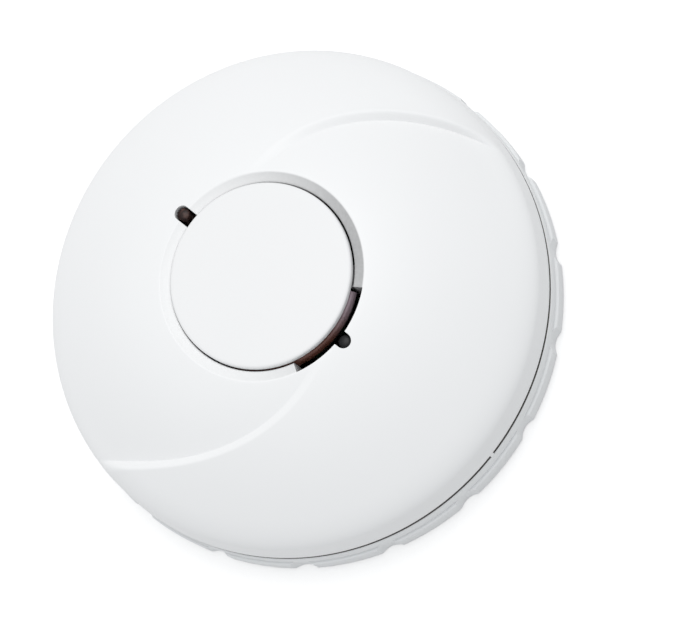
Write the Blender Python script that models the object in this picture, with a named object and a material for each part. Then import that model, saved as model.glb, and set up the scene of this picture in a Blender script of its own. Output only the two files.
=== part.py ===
"""Round optical smoke alarm on its mounting bracket, lying on its back.

The origin is the middle of the bracket's flat back. +Z runs out through the face, towards the room.
Lengths are in millimetres here and turned into metres when a mesh is made.
"""

import math

import bmesh
import bpy
from mathutils import Matrix, Vector

MM = 0.001

# Driving dimensions, in millimetres ------------------------------------------------------------
GAP = 0.3                      # clearance between pieces that touch
WALL = 2.0                     # moulded wall of the cover, housing and bracket

COVER_RADIUS = 55.0            # cover's side wall at the seam
ALARM_HEIGHT = 30.9            # from the housing's lower edge to the middle of the button
COVER_DRAFT = 0.75             # how far the side wall leans in by its top
SIDE_HEIGHT = 7.1              # straight side wall, up from the seam
SHOULDER_IN = 3.6              # width and rise of the rounded shoulder
SHOULDER_UP = 4.0
LEDGE_WIDTH = 1.95             # recessed ledge round the button's hole
LEDGE_DROP = 0.45              # how far the ledge falls to the hole's lip
DOME_START_SLOPE = 0.25        # fall of the dome per mm at the ledge
SWIRL_STEP = 1.3               # height of each swirl step at the rim
# Each swirl line: its angle at the ledge, and the degrees it turns back for each mm outwards
SWIRL_LINES = ((99.1, 2.02), (-58.0, 2.77))
SWIRL_EDGE = 0.002             # share of a half turn that each step's slope takes on either side
SLEEVE_LENGTH = 9.65           # button's guide sleeve, down from the ledge
SEAM_KEY_HALF_ANGLE = 0.5      # tab that lines the cover up with the housing
SEAM_KEY_DROP = 0.6

NOTCH_ANGLES = (142.0, -38.0)  # the two light notches, opposite each other
NOTCH_WIDTH = 3.3
NOTCH_OUT = 0.8                # from the ledge's outer edge to the middle of each notch's round end
SLOT_START = -67.5             # open stretch of the ledge
SLOT_END = -8.5

BUTTON_RADIUS = 19.8
BUTTON_PROUD = 1.15            # button's middle above the edge of the dome
BUTTON_THICKNESS = 2.0
BUTTON_GAP = 0.65              # open ring round the button
BUTTON_TRAVEL = 1.0
BUTTON_CROWN = 0.25
BUTTON_EDGE = 0.5              # rounding of the button's rim
ARM_ANGLES = (0.0, 120.0, 240.0)
ARM_HALF_ANGLE = 7.0
ARM_THICKNESS = 1.4
ARM_CLEARANCE = 0.45           # between an arm and the sleeve
HOOK_REACH = 1.4
HOOK_HEIGHT = 1.6
FOOT_REACH = 1.8               # past the middle of the switch
FOOT_THICKNESS = 1.6

BRACKET_HEIGHT = 4.6
BRACKET_PLATE_WIDTH = 9.8      # flat ring, from its open middle to its edge
GRIP_COUNT = 18                # shallow notches round the bracket's edge
GRIP_PHASE = -9.0
GRIP_DEPTH = 1.0
GRIP_RADIUS = 4.0
EAR_WIDTH = 15.0
EAR_REACH = 24.0
FIXING_SPACING = 60.0          # between the two fixing slots
FIXING_SLOT_WIDTH = 4.5
FIXING_SLOT_LENGTH = 10.0

LOCK_ANGLES = (60.0, 180.0, 300.0)
LOCK_HALF_ANGLE = 6.0
LOCK_LIP = 1.1                 # thickness of a bracket hook's lip
LOCK_WALL = 1.8                # thickness of a hook's outer wall
LOCK_STOP_ANGLE = 1.6          # width of the wall that ends the twist
LUG_LIP = 0.9                  # thickness of a housing lug's lip
LUG_STEM = 1.4
LOCK_OVERLAP = 1.8             # how far a lug reaches under its hook

BAND_STEP = 0.2                # each ring below the seam stands out a little more
BRACKET_STEP = 0.6
BAND_HEIGHT = 3.6              # housing's outer band, from its floor to the seam
FLOOR_THICKNESS = 2.0
SPIGOT_HEIGHT = 3.2            # housing's inner rim, up from the seam
SPIGOT_THICKNESS = 1.6

BOARD_MARGIN = 4.8             # from the board's edge to the cover's radius
BOARD_LIFT = 1.5               # above the housing's floor
BOARD_THICKNESS = 1.6
BOARD_SCREW_ANGLES = (0.0, 180.0, 235.0)
BOARD_SCREW_MARGIN = 11.0      # from the cover's radius
COVER_SCREW_ANGLES = (30.0, 150.0, 270.0)
COVER_SCREW_MARGIN = 9.0
BOSS_RADIUS = 3.0
POST_RADIUS = 2.5
SCREW_RADIUS = 1.2
SCREW_HEAD_RADIUS = 2.5
SCREW_HEAD_HEIGHT = 1.0
SCREW_SLOT_DEPTH = 0.4
COVER_SCREW_LENGTH = 8.0
COVER_SCREW_SINK = 0.15        # how far a cover screw's head lies below the housing's back

CHAMBER_INSET = 1.5            # chamber's radius is this much less than the button's
CHAMBER_DROP = 1.6             # from the button's underside to the chamber's cap
CHAMBER_BASE_HEIGHT = 3.0
CAP_HEIGHT = 5.0               # cap's skirt, down to the insect screen
SCREEN_WALL = 0.5
SCREEN_WINDOWS = 16
CAP_WALL = 1.2
GUARD_RADIUS = 1.3             # rounded guard on the cap, behind the open stretch of the ledge
GUARD_OUT = 0.6                # its middle outside the chamber's radius
GUARD_DROP = 1.8               # and below the cap's top
GUARD_MARGIN = 1.5             # degrees clear of each end of the open stretch
VANE_COUNT = 12
VANE_INSET = 3.1
VANE_LENGTH = 4.2
VANE_THICKNESS = 0.9
VANE_LEAN = 38.0               # degrees from radial
OPTIC_INSET = 7.5              # from the chamber's edge to each optic's back end
OPTIC_ANGLES = (25.0, 155.0)
OPTIC_BODY_RADIUS = 1.5
OPTIC_LENGTH = 3.0             # without its dome
CRADLE_SIZE = 5.6
SPRING_RADIUS = 3.8            # outside of the button's return spring
SPRING_WIRE = 0.6
SPRING_TURNS = 5
WELL_RADIUS = 4.6
WELL_DEPTH = 5.7

SWITCH_ANGLE = 240.0
SWITCH_SIZE = 6.0
SWITCH_HEIGHT = 3.8
SWITCH_CLEARANCE = 1.4         # between the chamber and the switch
PLUNGER_RADIUS = 1.6
PLUNGER_HEIGHT = 5.3           # top of the plunger above the board's parts level

CELL_RADIUS = 8.5              # CR123A lithium cell
CELL_LENGTH = 34.5
CELL_NUB_RADIUS = 3.4
CELL_NUB_LENGTH = 1.6
CELL_CLEARANCE = 1.2           # between the chamber and the cell's holder
CONTACT_THICKNESS = 0.5
CONTACT_WIDTH = 7.0
CONTACT_TAB_WIDTH = 3.0
CONTACT_TAB_RISE = 4.7         # tab's underside above the cell's axis
CONTACT_DROP = 4.0             # contact plate, down from the cell's axis
SPRING_SPACE = 2.4             # room for the negative contact's spring
HOLDER_WALL = 1.2
HOLDER_CLEARANCE = 0.4
HATCH_THICKNESS = 2.0
HATCH_TRUNNION_RADIUS = 0.9
HATCH_TRUNNION_LENGTH = 1.5
TRUNNION_CLEARANCE = 0.35
GROOVE_RADIUS = 1.5            # finger groove in the hatch
GROOVE_LENGTH = 12.0

HORN_ANGLE = -38.0
HORN_CLEARANCE = 7.2           # between the chamber and the horn
HORN_RADIUS = 12.5
HORN_HEIGHT = 6.3
HORN_WALL = 1.1
HORN_LEDGE = 3.4               # seat of the piezo disc, above the horn's base
HORN_PORT_RADIUS = 2.2
PIEZO_RADIUS = 10.8
PIEZO_THICKNESS = 0.4
HORN_SPRING_RADIUS = 1.1
HORN_SPRING_OFFSETS = (0.0, 7.6)
LED_RADIUS = 1.5
LED_FLANGE = 0.3
LED_HEIGHT = 4.0
PIPE_DROP = 1.15               # from the dome's edge down to the top of a light pipe
LEAD_RADIUS = 0.6
THIN_WIRE = 0.2                # radius of the contact springs' wire

CHIP_PLACE = (-30.0, -12.0)
CHIP_SIZE = 7.5
CHIP_HEIGHT = 1.6
CAN_PLACE = (-8.0, -35.0)
CAN_RADIUS = 3.15
CAN_HEIGHT = 7.7
COIL_PLACE = (4.5, -30.0)
COIL_RADIUS = 4.0
COIL_CORE_RADIUS = 2.9
COIL_HEIGHT = 5.0
COIL_FLANGE = 0.9
WINDING_RADIUS = 3.8

ROUND = 60                     # facets of the largest circles

# Values that follow ------------------------------------------------------------------------------
HOLE_RADIUS = BUTTON_RADIUS + BUTTON_GAP
RING_RADIUS = HOLE_RADIUS + LEDGE_WIDTH
NOTCH_CENTRE = RING_RADIUS + NOTCH_OUT
CHAMBER_RADIUS = BUTTON_RADIUS - CHAMBER_INSET
HOUSING_RADIUS = COVER_RADIUS + BAND_STEP
BRACKET_RADIUS = HOUSING_RADIUS + BRACKET_STEP
BRACKET_OPENING = BRACKET_RADIUS - BRACKET_PLATE_WIDTH
HOUSING_BOTTOM_Z = BRACKET_HEIGHT + GAP
FLOOR_Z = HOUSING_BOTTOM_Z + GAP
FLOOR_TOP_Z = FLOOR_Z + FLOOR_THICKNESS
SEAM_Z = FLOOR_Z + BAND_HEIGHT
BUTTON_TOP_Z = HOUSING_BOTTOM_Z + ALARM_HEIGHT
SIDE_TOP_Z = SEAM_Z + SIDE_HEIGHT
SPIGOT_TOP_Z = SEAM_Z + SPIGOT_HEIGHT
SIDE_TOP_RADIUS = COVER_RADIUS - COVER_DRAFT
DOME_RADIUS = SIDE_TOP_RADIUS - SHOULDER_IN
DOME_Z = SIDE_TOP_Z + SHOULDER_UP
DOME_SPAN = DOME_RADIUS - RING_RADIUS
RING_Z = BUTTON_TOP_Z - BUTTON_PROUD
DOME_CURVE = (RING_Z - DOME_Z - DOME_START_SLOPE * DOME_SPAN) / DOME_SPAN ** 2
SLEEVE_Z = RING_Z - SLEEVE_LENGTH
SLEEVE_RADIUS = RING_RADIUS - 0.4
BUTTON_UNDER_Z = BUTTON_TOP_Z - BUTTON_THICKNESS
BOARD_RADIUS = COVER_RADIUS - BOARD_MARGIN
BOARD_Z = FLOOR_TOP_Z + BOARD_LIFT
BOARD_TOP_Z = BOARD_Z + BOARD_THICKNESS
PARTS_Z = BOARD_TOP_Z + GAP
BOARD_SCREWS = [(COVER_RADIUS - BOARD_SCREW_MARGIN, angle) for angle in BOARD_SCREW_ANGLES]
COVER_SCREWS = [(COVER_RADIUS - COVER_SCREW_MARGIN, angle) for angle in COVER_SCREW_ANGLES]
COVER_SCREW_Z = FLOOR_Z + COVER_SCREW_SINK + SCREW_HEAD_HEIGHT  # underside of each head
LUG_RADIUS = BRACKET_OPENING + 2 * GAP
LUG_Z = WALL + GAP + 0.1
LOCK_Z = LUG_Z + LUG_LIP + GAP
LOCK_RADIUS = LUG_RADIUS + LUG_STEM + GAP + 0.1
LUG_TIP_RADIUS = LOCK_RADIUS + LOCK_OVERLAP
CHAMBER_BASE_TOP_Z = PARTS_Z + CHAMBER_BASE_HEIGHT
CHAMBER_CAP_Z = BUTTON_UNDER_Z - CHAMBER_DROP
SCREEN_TOP_Z = CHAMBER_CAP_Z - CAP_HEIGHT
CAP_BOTTOM_Z = SCREEN_TOP_Z + GAP
WELL_FLOOR_Z = CHAMBER_CAP_Z - WELL_DEPTH
VANE_RADIUS = CHAMBER_RADIUS - VANE_INSET
OPTIC_RADIUS = CHAMBER_RADIUS - OPTIC_INSET
ARM_OUTER_RADIUS = HOLE_RADIUS - ARM_CLEARANCE
ARM_INNER_RADIUS = ARM_OUTER_RADIUS - ARM_THICKNESS
ARM_HOOK_Z = SLEEVE_Z - GAP
SWITCH_CENTRE = CHAMBER_RADIUS + SWITCH_CLEARANCE + SWITCH_SIZE / 2
PLUNGER_TOP_Z = PARTS_Z + PLUNGER_HEIGHT
FOOT_Z = PLUNGER_TOP_Z + GAP
PIPE_TOP_Z = RING_Z - PIPE_DROP
HORN_CENTRE = CHAMBER_RADIUS + HORN_CLEARANCE + HORN_RADIUS
CELL_Z = FLOOR_TOP_Z + GAP + CELL_RADIUS
CONTACT_TAB_Z = CELL_Z + CONTACT_TAB_RISE
HOLDER_INNER_RADIUS = CELL_RADIUS + HOLDER_CLEARANCE
HOLDER_OUTER_RADIUS = HOLDER_INNER_RADIUS + HOLDER_WALL
CELL_CENTRE_Y = CHAMBER_RADIUS + CELL_CLEARANCE + HOLDER_OUTER_RADIUS
HOLDER_HALF_LENGTH = (CELL_LENGTH + CONTACT_THICKNESS + SPRING_SPACE) / 2 + 2 * GAP
HOLDER_HALF_OUTSIDE = HOLDER_HALF_LENGTH + HOLDER_WALL
OPENING_INNER_Y = CELL_CENTRE_Y - HOLDER_INNER_RADIUS
OPENING_OUTER_Y = CELL_CENTRE_Y + HOLDER_INNER_RADIUS
HINGE_Y = OPENING_OUTER_Y - GAP - HATCH_THICKNESS / 2
HINGE_Z = FLOOR_Z + HATCH_THICKNESS / 2


# Mesh helpers --------------------------------------------------------------------------------------
def polar(radius, degrees):
    angle = math.radians(degrees)
    return radius * math.cos(angle), radius * math.sin(angle)


def arc(centre, radius, start, end, steps):
    """Points of an arc in a plane, both ends included."""
    points = []
    for step in range(steps + 1):
        angle = math.radians(start + (end - start) * step / steps)
        points.append((centre[0] + radius * math.cos(angle), centre[1] + radius * math.sin(angle)))
    return points


def curve_between(start, corner, end, steps):
    """Points of the smooth curve that leaves start and reaches end, both aimed at corner."""
    points = []
    for step in range(steps + 1):
        t = step / steps
        points.append(tuple(
            (1 - t) ** 2 * a + 2 * t * (1 - t) * b + t ** 2 * c for a, b, c in zip(start, corner, end)
        ))
    return points


def bridge(bm, sections, closed):
    """Joins equal point rings, in order, with quads; open ends get caps."""
    rings = [[bm.verts.new(Vector(point) * MM) for point in section] for section in sections]
    pairs = list(zip(rings, rings[1:]))
    if closed:
        pairs.append((rings[-1], rings[0]))
    for first, second in pairs:
        for i in range(len(first)):
            j = (i + 1) % len(first)
            bm.faces.new((first[i], first[j], second[j], second[i]))
    if not closed:
        bm.faces.new(rings[0])
        bm.faces.new(rings[-1])


def turn(bm, outline, start=0.0, end=360.0, steps=ROUND, centre=(0.0, 0.0)):
    """Sweeps a closed outline of (radius, z) round an upright axis."""
    whole = end - start >= 360.0
    sections = []
    for step in range(steps if whole else steps + 1):
        angle = start + (end - start) * step / steps
        section = []
        for radius, z in outline:
            x, y = polar(radius, angle)
            section.append((x + centre[0], y + centre[1], z))
        sections.append(section)
    bridge(bm, sections, whole)


def along_x(bm, outline, x0, x1):
    """Extrudes a closed outline of (y, z) between two x values."""
    bridge(bm, [[(x0, y, z) for y, z in outline], [(x1, y, z) for y, z in outline]], False)


def upright(bm, outline, z0, z1):
    """Extrudes a closed outline of (x, y) between two heights."""
    bridge(bm, [[(x, y, z0) for x, y in outline], [(x, y, z1) for x, y in outline]], False)


def cylinder(bm, centre, radius, z0, z1, steps=20):
    upright(bm, arc(centre, radius, 0.0, 360.0 - 360.0 / steps, steps - 1), z0, z1)


def block(bm, centre, size, z0, z1, degrees=0.0):
    """A box with its width and depth turned about its own upright axis."""
    half_x, half_y = size[0] / 2, size[1] / 2
    cos, sin = math.cos(math.radians(degrees)), math.sin(math.radians(degrees))
    corners = ((-half_x, -half_y), (half_x, -half_y), (half_x, half_y), (-half_x, half_y))
    upright(bm, [(centre[0] + x * cos - y * sin, centre[1] + x * sin + y * cos) for x, y in corners], z0, z1)


def mesh_of(name, bm):
    bmesh.ops.remove_doubles(bm, verts=bm.verts, dist=1e-7)
    bmesh.ops.dissolve_degenerate(bm, dist=1e-7, edges=bm.edges)
    bmesh.ops.recalc_face_normals(bm, faces=bm.faces)
    mesh = bpy.data.meshes.new(name)
    bm.to_mesh(mesh)
    bm.free()
    return mesh


def solid(name, bm, finish, origin=None):
    """A sub-part. With an origin, its object stands on that point, such as a joint's axis."""
    mesh = mesh_of(name, bm)
    item = bpy.data.objects.new(name, mesh)
    bpy.context.collection.objects.link(item)
    mesh.materials.append(finish)
    mesh.shade_smooth()
    mesh.set_sharp_from_angle(angle=math.radians(35))
    if origin:
        place = Vector(origin) * MM
        mesh.transform(Matrix.Translation(-place))
        item.location = place
    return item


def helper(name, bm):
    """A hidden shape that a Boolean reads."""
    item = bpy.data.objects.new(name, mesh_of(name, bm))
    bpy.context.collection.objects.link(item)
    item.hide_render = True
    item.display_type = "WIRE"
    return item


def combine(owner, name, bm, operation):
    other = helper(owner.name + "_" + name, bm)
    modifier = owner.modifiers.new(name, "BOOLEAN")
    modifier.operation = operation
    modifier.object = other


def cut(owner, name, bm):
    combine(owner, name, bm, "DIFFERENCE")


def add(owner, name, bm):
    combine(owner, name, bm, "UNION")


def finish(name, colour, roughness=0.45, metallic=0.0):
    material = bpy.data.materials.new(name)
    material.use_nodes = True
    shader = material.node_tree.nodes["Principled BSDF"]
    shader.inputs["Base Color"].default_value = (*colour, 1.0)
    shader.inputs["Roughness"].default_value = roughness
    shader.inputs["Metallic"].default_value = metallic
    material.diffuse_color = (*colour, 1.0)
    return material


def wire(name, points, radius, material, sides=2):
    """A round wire or lead along a list of points."""
    data = bpy.data.curves.new(name, "CURVE")
    data.dimensions = "3D"
    data.bevel_depth = radius * MM
    data.bevel_resolution = sides
    data.use_fill_caps = True
    line = data.splines.new("POLY")
    line.points.add(len(points) - 1)
    for point, place in zip(line.points, points):
        point.co = (*(Vector(place) * MM), 1.0)
    data.materials.append(material)
    item = bpy.data.objects.new(name, data)
    bpy.context.collection.objects.link(item)
    return item


def coil(centre, radius, z0, z1, turns, per_turn):
    """Points of an upright helix."""
    points = []
    for step in range(turns * per_turn + 1):
        x, y = polar(radius, 360.0 * step / per_turn)
        z = z0 + (z1 - z0) * step / (turns * per_turn)
        points.append((centre[0] + x, centre[1] + y, z))
    return points


def smooth_route(corners, steps):
    """A smooth curve through hand-picked points, for a lead."""
    points = []
    for i in range(len(corners) - 1):
        before = Vector(corners[max(i - 1, 0)])
        start, end = Vector(corners[i]), Vector(corners[i + 1])
        after = Vector(corners[min(i + 2, len(corners) - 1)])
        for step in range(steps):
            t = step / steps
            points.append(0.5 * (
                2 * start + (end - before) * t
                + (2 * before - 5 * start + 4 * end - after) * t ** 2
                + (3 * start - before - 3 * end + after) * t ** 3
            ))
    points.append(Vector(corners[-1]))
    return points


# Materials -----------------------------------------------------------------------------------------
def make_finishes():
    return {
        "white": finish("white_plastic", (0.86, 0.865, 0.87), 0.42),
        "back": finish("back_plastic", (0.80, 0.80, 0.79), 0.5),
        "dark": finish("chamber_plastic", (0.02, 0.015, 0.015), 0.25),
        "black": finish("black_plastic", (0.03, 0.03, 0.03), 0.5),
        "board": finish("circuit_board", (0.03, 0.17, 0.08), 0.4),
        "steel": finish("plated_steel", (0.62, 0.62, 0.63), 0.3, 1.0),
        "brass": finish("brass", (0.72, 0.52, 0.22), 0.3, 1.0),
        "lens": finish("tinted_lens", (0.10, 0.02, 0.02), 0.08),
        "cell": finish("cell_sleeve", (0.13, 0.16, 0.22), 0.35),
        "red": finish("red_lead", (0.55, 0.03, 0.02), 0.4),
        "lead": finish("black_lead", (0.02, 0.02, 0.02), 0.4),
        "copper": finish("copper_winding", (0.55, 0.22, 0.09), 0.35, 1.0),
    }


# The cover -----------------------------------------------------------------------------------------
def dome_z(radius):
    """Height of the cover's plain dome at a radius."""
    out = radius - RING_RADIUS
    return RING_Z - DOME_START_SLOPE * out - DOME_CURVE * out ** 2


def swirl_angle(line, radius):
    """Angle of a swirl line, which turns back as it runs out."""
    at_ledge, turned_back = SWIRL_LINES[line]
    return at_ledge - turned_back * (min(max(radius, RING_RADIUS), DOME_RADIUS) - RING_RADIUS)


def swirl_lift(radius, share):
    """Rise beside the plain dome. The share runs from 0 just past one line to 1 just before the next."""
    out = min(max((radius - RING_RADIUS) / DOME_SPAN, 0.0), 1.0)
    if radius > DOME_RADIUS:
        out = max(1.0 - (radius - DOME_RADIUS) / SHOULDER_IN, 0.0)
    ease = out * out * (3.0 - 2.0 * out)
    return SWIRL_STEP * ease * (0.5 - share)


def cover_outline():
    """The cover's section as (radius, z, swirls), up the outside, over the dome and back inside."""
    corner = (SIDE_TOP_RADIUS - 0.3, DOME_Z - 0.65 * SHOULDER_UP)
    shoulder = curve_between((SIDE_TOP_RADIUS, SIDE_TOP_Z), corner, (DOME_RADIUS, DOME_Z), 3)
    dome_radii = [DOME_RADIUS - DOME_SPAN * step / 5 for step in range(1, 6)]
    outside = [(COVER_RADIUS, SEAM_Z + GAP / 2)] + shoulder + [(r, dome_z(r)) for r in dome_radii]
    outside.append((HOLE_RADIUS, RING_Z - LEDGE_DROP))
    inside = [(HOLE_RADIUS, SLEEVE_Z), (SLEEVE_RADIUS, SLEEVE_Z), (SLEEVE_RADIUS, dome_z(RING_RADIUS) - WALL)]
    inside += [(r, dome_z(r) - WALL) for r in reversed(dome_radii[:-1])]
    inside += [(DOME_RADIUS - WALL / 2, DOME_Z - WALL), (SIDE_TOP_RADIUS - WALL, SIDE_TOP_Z - 0.5)]
    inside.append((COVER_RADIUS - WALL, SEAM_Z + GAP / 2))
    return [(r, z, True) for r, z in outside] + [(r, z, False) for r, z in inside]


def cover_shell(bm):
    """The swirled shell, fanned out from one swirl line to the next with a column beside each."""
    half = ROUND // 2
    outline = cover_outline()
    sections = []
    for line in (0, 1):
        for step in range(half + 1):
            share = SWIRL_EDGE + (1.0 - 2.0 * SWIRL_EDGE) * step / half
            section = []
            for radius, z, swirls in outline:
                start = swirl_angle(line, radius)
                span = (swirl_angle(1 - line, radius) - start) % 360.0
                x, y = polar(radius, start + span * share)
                section.append((x, y, z + (swirl_lift(radius, share) if swirls else 0.0)))
            sections.append(section)
    bridge(bm, sections, True)


def boss(bm, radius, angle, steps=12):
    """A screw boss under the dome. Its top follows the dome, half way through the wall."""
    centre = polar(radius, angle)
    ring = arc(centre, BOSS_RADIUS, 0.0, 360.0 - 360.0 / steps, steps - 1)
    low = [(x, y, FLOOR_TOP_Z + GAP) for x, y in ring]
    high = [(x, y, dome_z(math.hypot(x, y)) - WALL / 2) for x, y in ring]
    bridge(bm, [low, high], False)


def notch_outline(angle, half_width, inner, centre):
    """A radial U, open towards the middle."""
    end = arc(polar(centre, angle), half_width, angle + 90.0, angle - 90.0, 8)
    near = Vector(polar(inner, angle))
    side = Vector(polar(half_width, angle + 90.0))
    return end + [tuple(near - side), tuple(near + side)]


def make_front_cover(finishes):
    shell = bmesh.new()
    cover_shell(shell)
    cover = solid("front_cover", shell, finishes["white"])
    bosses = bmesh.new()
    for radius, angle in COVER_SCREWS:
        boss(bosses, radius, angle)
    add(cover, "bosses", bosses)
    key = bmesh.new()
    inner, low, high = COVER_RADIUS - WALL / 2, SEAM_Z - SEAM_KEY_DROP, SEAM_Z + 1.0
    turn(key, [(inner, low), (COVER_RADIUS, low), (COVER_RADIUS, high), (inner, high)],
         NOTCH_ANGLES[1] - SEAM_KEY_HALF_ANGLE, NOTCH_ANGLES[1] + SEAM_KEY_HALF_ANGLE, 2)
    add(cover, "seam_key", key)
    openings = bmesh.new()
    turn(openings, [
        (HOLE_RADIUS - 1.0, SLEEVE_Z - 1.0), (RING_RADIUS, SLEEVE_Z - 1.0),
        (RING_RADIUS, RING_Z + 1.0), (HOLE_RADIUS - 1.0, RING_Z + 1.0),
    ], SLOT_START, SLOT_END, 10)
    cut(cover, "slot", openings)
    for count, angle in enumerate(NOTCH_ANGLES):
        notch = bmesh.new()
        outline = notch_outline(angle, NOTCH_WIDTH / 2, HOLE_RADIUS - 1.2, NOTCH_CENTRE)
        upright(notch, outline, SLEEVE_Z - 1.5, RING_Z + 1.5)
        cut(cover, "notch_" + str(count + 1), notch)
    pilots = bmesh.new()
    for radius, angle in COVER_SCREWS:
        cylinder(pilots, polar(radius, angle), SCREW_RADIUS + GAP, FLOOR_Z, SPIGOT_TOP_Z + 4.0, 12)
    cut(cover, "pilots", pilots)
    return cover


# The button ----------------------------------------------------------------------------------------
def make_test_button(finishes):
    body = bmesh.new()
    edge = BUTTON_EDGE
    rim_z = BUTTON_TOP_Z - BUTTON_CROWN
    turn(body, [
        (0.0, BUTTON_UNDER_Z), (BUTTON_RADIUS, BUTTON_UNDER_Z), (BUTTON_RADIUS, rim_z - edge),
        (BUTTON_RADIUS - edge * 0.3, rim_z - edge * 0.3), (BUTTON_RADIUS - edge, rim_z),
        (BUTTON_RADIUS * 0.55, BUTTON_TOP_Z - BUTTON_CROWN * 0.3), (0.0, BUTTON_TOP_Z),
    ], steps=40)
    button = solid("test_button", body, finishes["white"], (0.0, 0.0, BUTTON_UNDER_Z))
    arms = bmesh.new()
    reach = ARM_OUTER_RADIUS + HOOK_REACH
    hook_base = ARM_HOOK_Z - HOOK_HEIGHT
    for angle in ARM_ANGLES:
        foot = FOOT_Z if angle == SWITCH_ANGLE else hook_base
        outline = [
            (ARM_INNER_RADIUS, BUTTON_UNDER_Z + 0.6), (BUTTON_RADIUS - 0.2, BUTTON_UNDER_Z + 0.6),
            (BUTTON_RADIUS - 0.2, BUTTON_UNDER_Z - 0.6), (ARM_OUTER_RADIUS, BUTTON_UNDER_Z - 1.2),
            (ARM_OUTER_RADIUS, ARM_HOOK_Z), (reach, ARM_HOOK_Z), (ARM_OUTER_RADIUS + 0.3, hook_base),
        ]
        if angle == SWITCH_ANGLE:
            outline += [
                (ARM_OUTER_RADIUS + 0.3, FOOT_Z + FOOT_THICKNESS),
                (SWITCH_CENTRE + FOOT_REACH, FOOT_Z + FOOT_THICKNESS), (SWITCH_CENTRE + FOOT_REACH, FOOT_Z),
            ]
        outline.append((ARM_INNER_RADIUS, foot))
        turn(arms, outline, angle - ARM_HALF_ANGLE, angle + ARM_HALF_ANGLE, 3)
    add(button, "arms", arms)
    spigot = bmesh.new()
    spigot_radius = SPRING_RADIUS - SPRING_WIRE - GAP
    cylinder(spigot, (0.0, 0.0), spigot_radius, BUTTON_UNDER_Z - 2.0, BUTTON_UNDER_Z + 0.5, 16)
    add(button, "spigot", spigot)
    return button


def make_button_spring(finishes):
    low = WELL_FLOOR_Z + GAP + SPRING_WIRE / 2
    high = BUTTON_UNDER_Z - GAP - SPRING_WIRE / 2
    points = coil((0.0, 0.0), SPRING_RADIUS - SPRING_WIRE / 2, low, high, SPRING_TURNS, 8)
    return wire("button_spring", points, SPRING_WIRE / 2, finishes["steel"], 1)


# The smoke chamber -----------------------------------------------------------------------------------
def make_chamber_base(finishes):
    body = bmesh.new()
    rim = 1.2
    turn(body, [
        (0.0, PARTS_Z), (CHAMBER_RADIUS, PARTS_Z), (CHAMBER_RADIUS, CHAMBER_BASE_TOP_Z),
        (CHAMBER_RADIUS - rim, CHAMBER_BASE_TOP_Z), (CHAMBER_RADIUS - rim, CHAMBER_BASE_TOP_Z - 1.0),
        (0.0, CHAMBER_BASE_TOP_Z - 1.0),
    ], steps=40)
    base = solid("chamber_base", body, finishes["dark"])
    cradles = bmesh.new()
    middle = OPTIC_RADIUS - 1.4
    for angle in OPTIC_ANGLES:
        size = (CRADLE_SIZE, CRADLE_SIZE)
        block(cradles, polar(middle, angle), size, CHAMBER_BASE_TOP_Z - 1.5, CHAMBER_BASE_TOP_Z + 4.4, angle)
    add(base, "cradles", cradles)
    bores = bmesh.new()
    width = 2 * (OPTIC_BODY_RADIUS + GAP)
    for angle in OPTIC_ANGLES:
        centre = polar(middle - 1.0, angle)
        block(bores, centre, (5.0, width), CHAMBER_BASE_TOP_Z, CHAMBER_BASE_TOP_Z + 5.0, angle)
    cut(base, "bores", bores)
    return base


def make_insect_screen(finishes):
    body = bmesh.new()
    low, high = CHAMBER_BASE_TOP_Z + GAP, SCREEN_TOP_Z
    inner = CHAMBER_RADIUS - SCREEN_WALL
    turn(body, [(inner, low), (CHAMBER_RADIUS, low), (CHAMBER_RADIUS, high), (inner, high)], steps=32)
    screen = solid("insect_screen", body, finishes["dark"])
    windows = bmesh.new()
    pitch = 360.0 / SCREEN_WINDOWS
    for count in range(SCREEN_WINDOWS):
        middle = count * pitch
        turn(windows, [
            (inner - 1.0, low + 1.0), (CHAMBER_RADIUS + 1.0, low + 1.0),
            (CHAMBER_RADIUS + 1.0, high - 1.0), (inner - 1.0, high - 1.0),
        ], middle - pitch * 0.4, middle + pitch * 0.4, 1)
    cut(screen, "windows", windows)
    return screen


def make_chamber_cap(finishes):
    body = bmesh.new()
    corner = 0.6
    under = CHAMBER_CAP_Z - CAP_WALL * 1.5
    cup, cup_z = WELL_RADIUS + CAP_WALL, WELL_FLOOR_Z - CAP_WALL
    turn(body, [
        (CHAMBER_RADIUS, CAP_BOTTOM_Z), (CHAMBER_RADIUS, CHAMBER_CAP_Z - corner),
        (CHAMBER_RADIUS - corner, CHAMBER_CAP_Z), (WELL_RADIUS, CHAMBER_CAP_Z), (WELL_RADIUS, WELL_FLOOR_Z),
        (0.0, WELL_FLOOR_Z), (0.0, cup_z), (cup, cup_z), (cup, under), (CHAMBER_RADIUS - CAP_WALL, under),
        (CHAMBER_RADIUS - CAP_WALL, CAP_BOTTOM_Z),
    ], steps=36)
    cap = solid("chamber_cap", body, finishes["dark"])
    vanes = bmesh.new()
    for count in range(VANE_COUNT):
        angle = 360.0 * (count + 0.5) / VANE_COUNT
        block(
            vanes, polar(VANE_RADIUS, angle), (VANE_LENGTH, VANE_THICKNESS), CHAMBER_BASE_TOP_Z + GAP,
            CHAMBER_CAP_Z - CAP_WALL, angle + VANE_LEAN,
        )
    add(cap, "vanes", vanes)
    guard = bmesh.new()
    centre = (CHAMBER_RADIUS + GUARD_OUT, CHAMBER_CAP_Z - GUARD_DROP)
    turn(guard, arc(centre, GUARD_RADIUS, 15.0, 345.0, 11), SLOT_START + GUARD_MARGIN, SLOT_END - GUARD_MARGIN, 12)
    add(cap, "guard", guard)
    return cap


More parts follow.
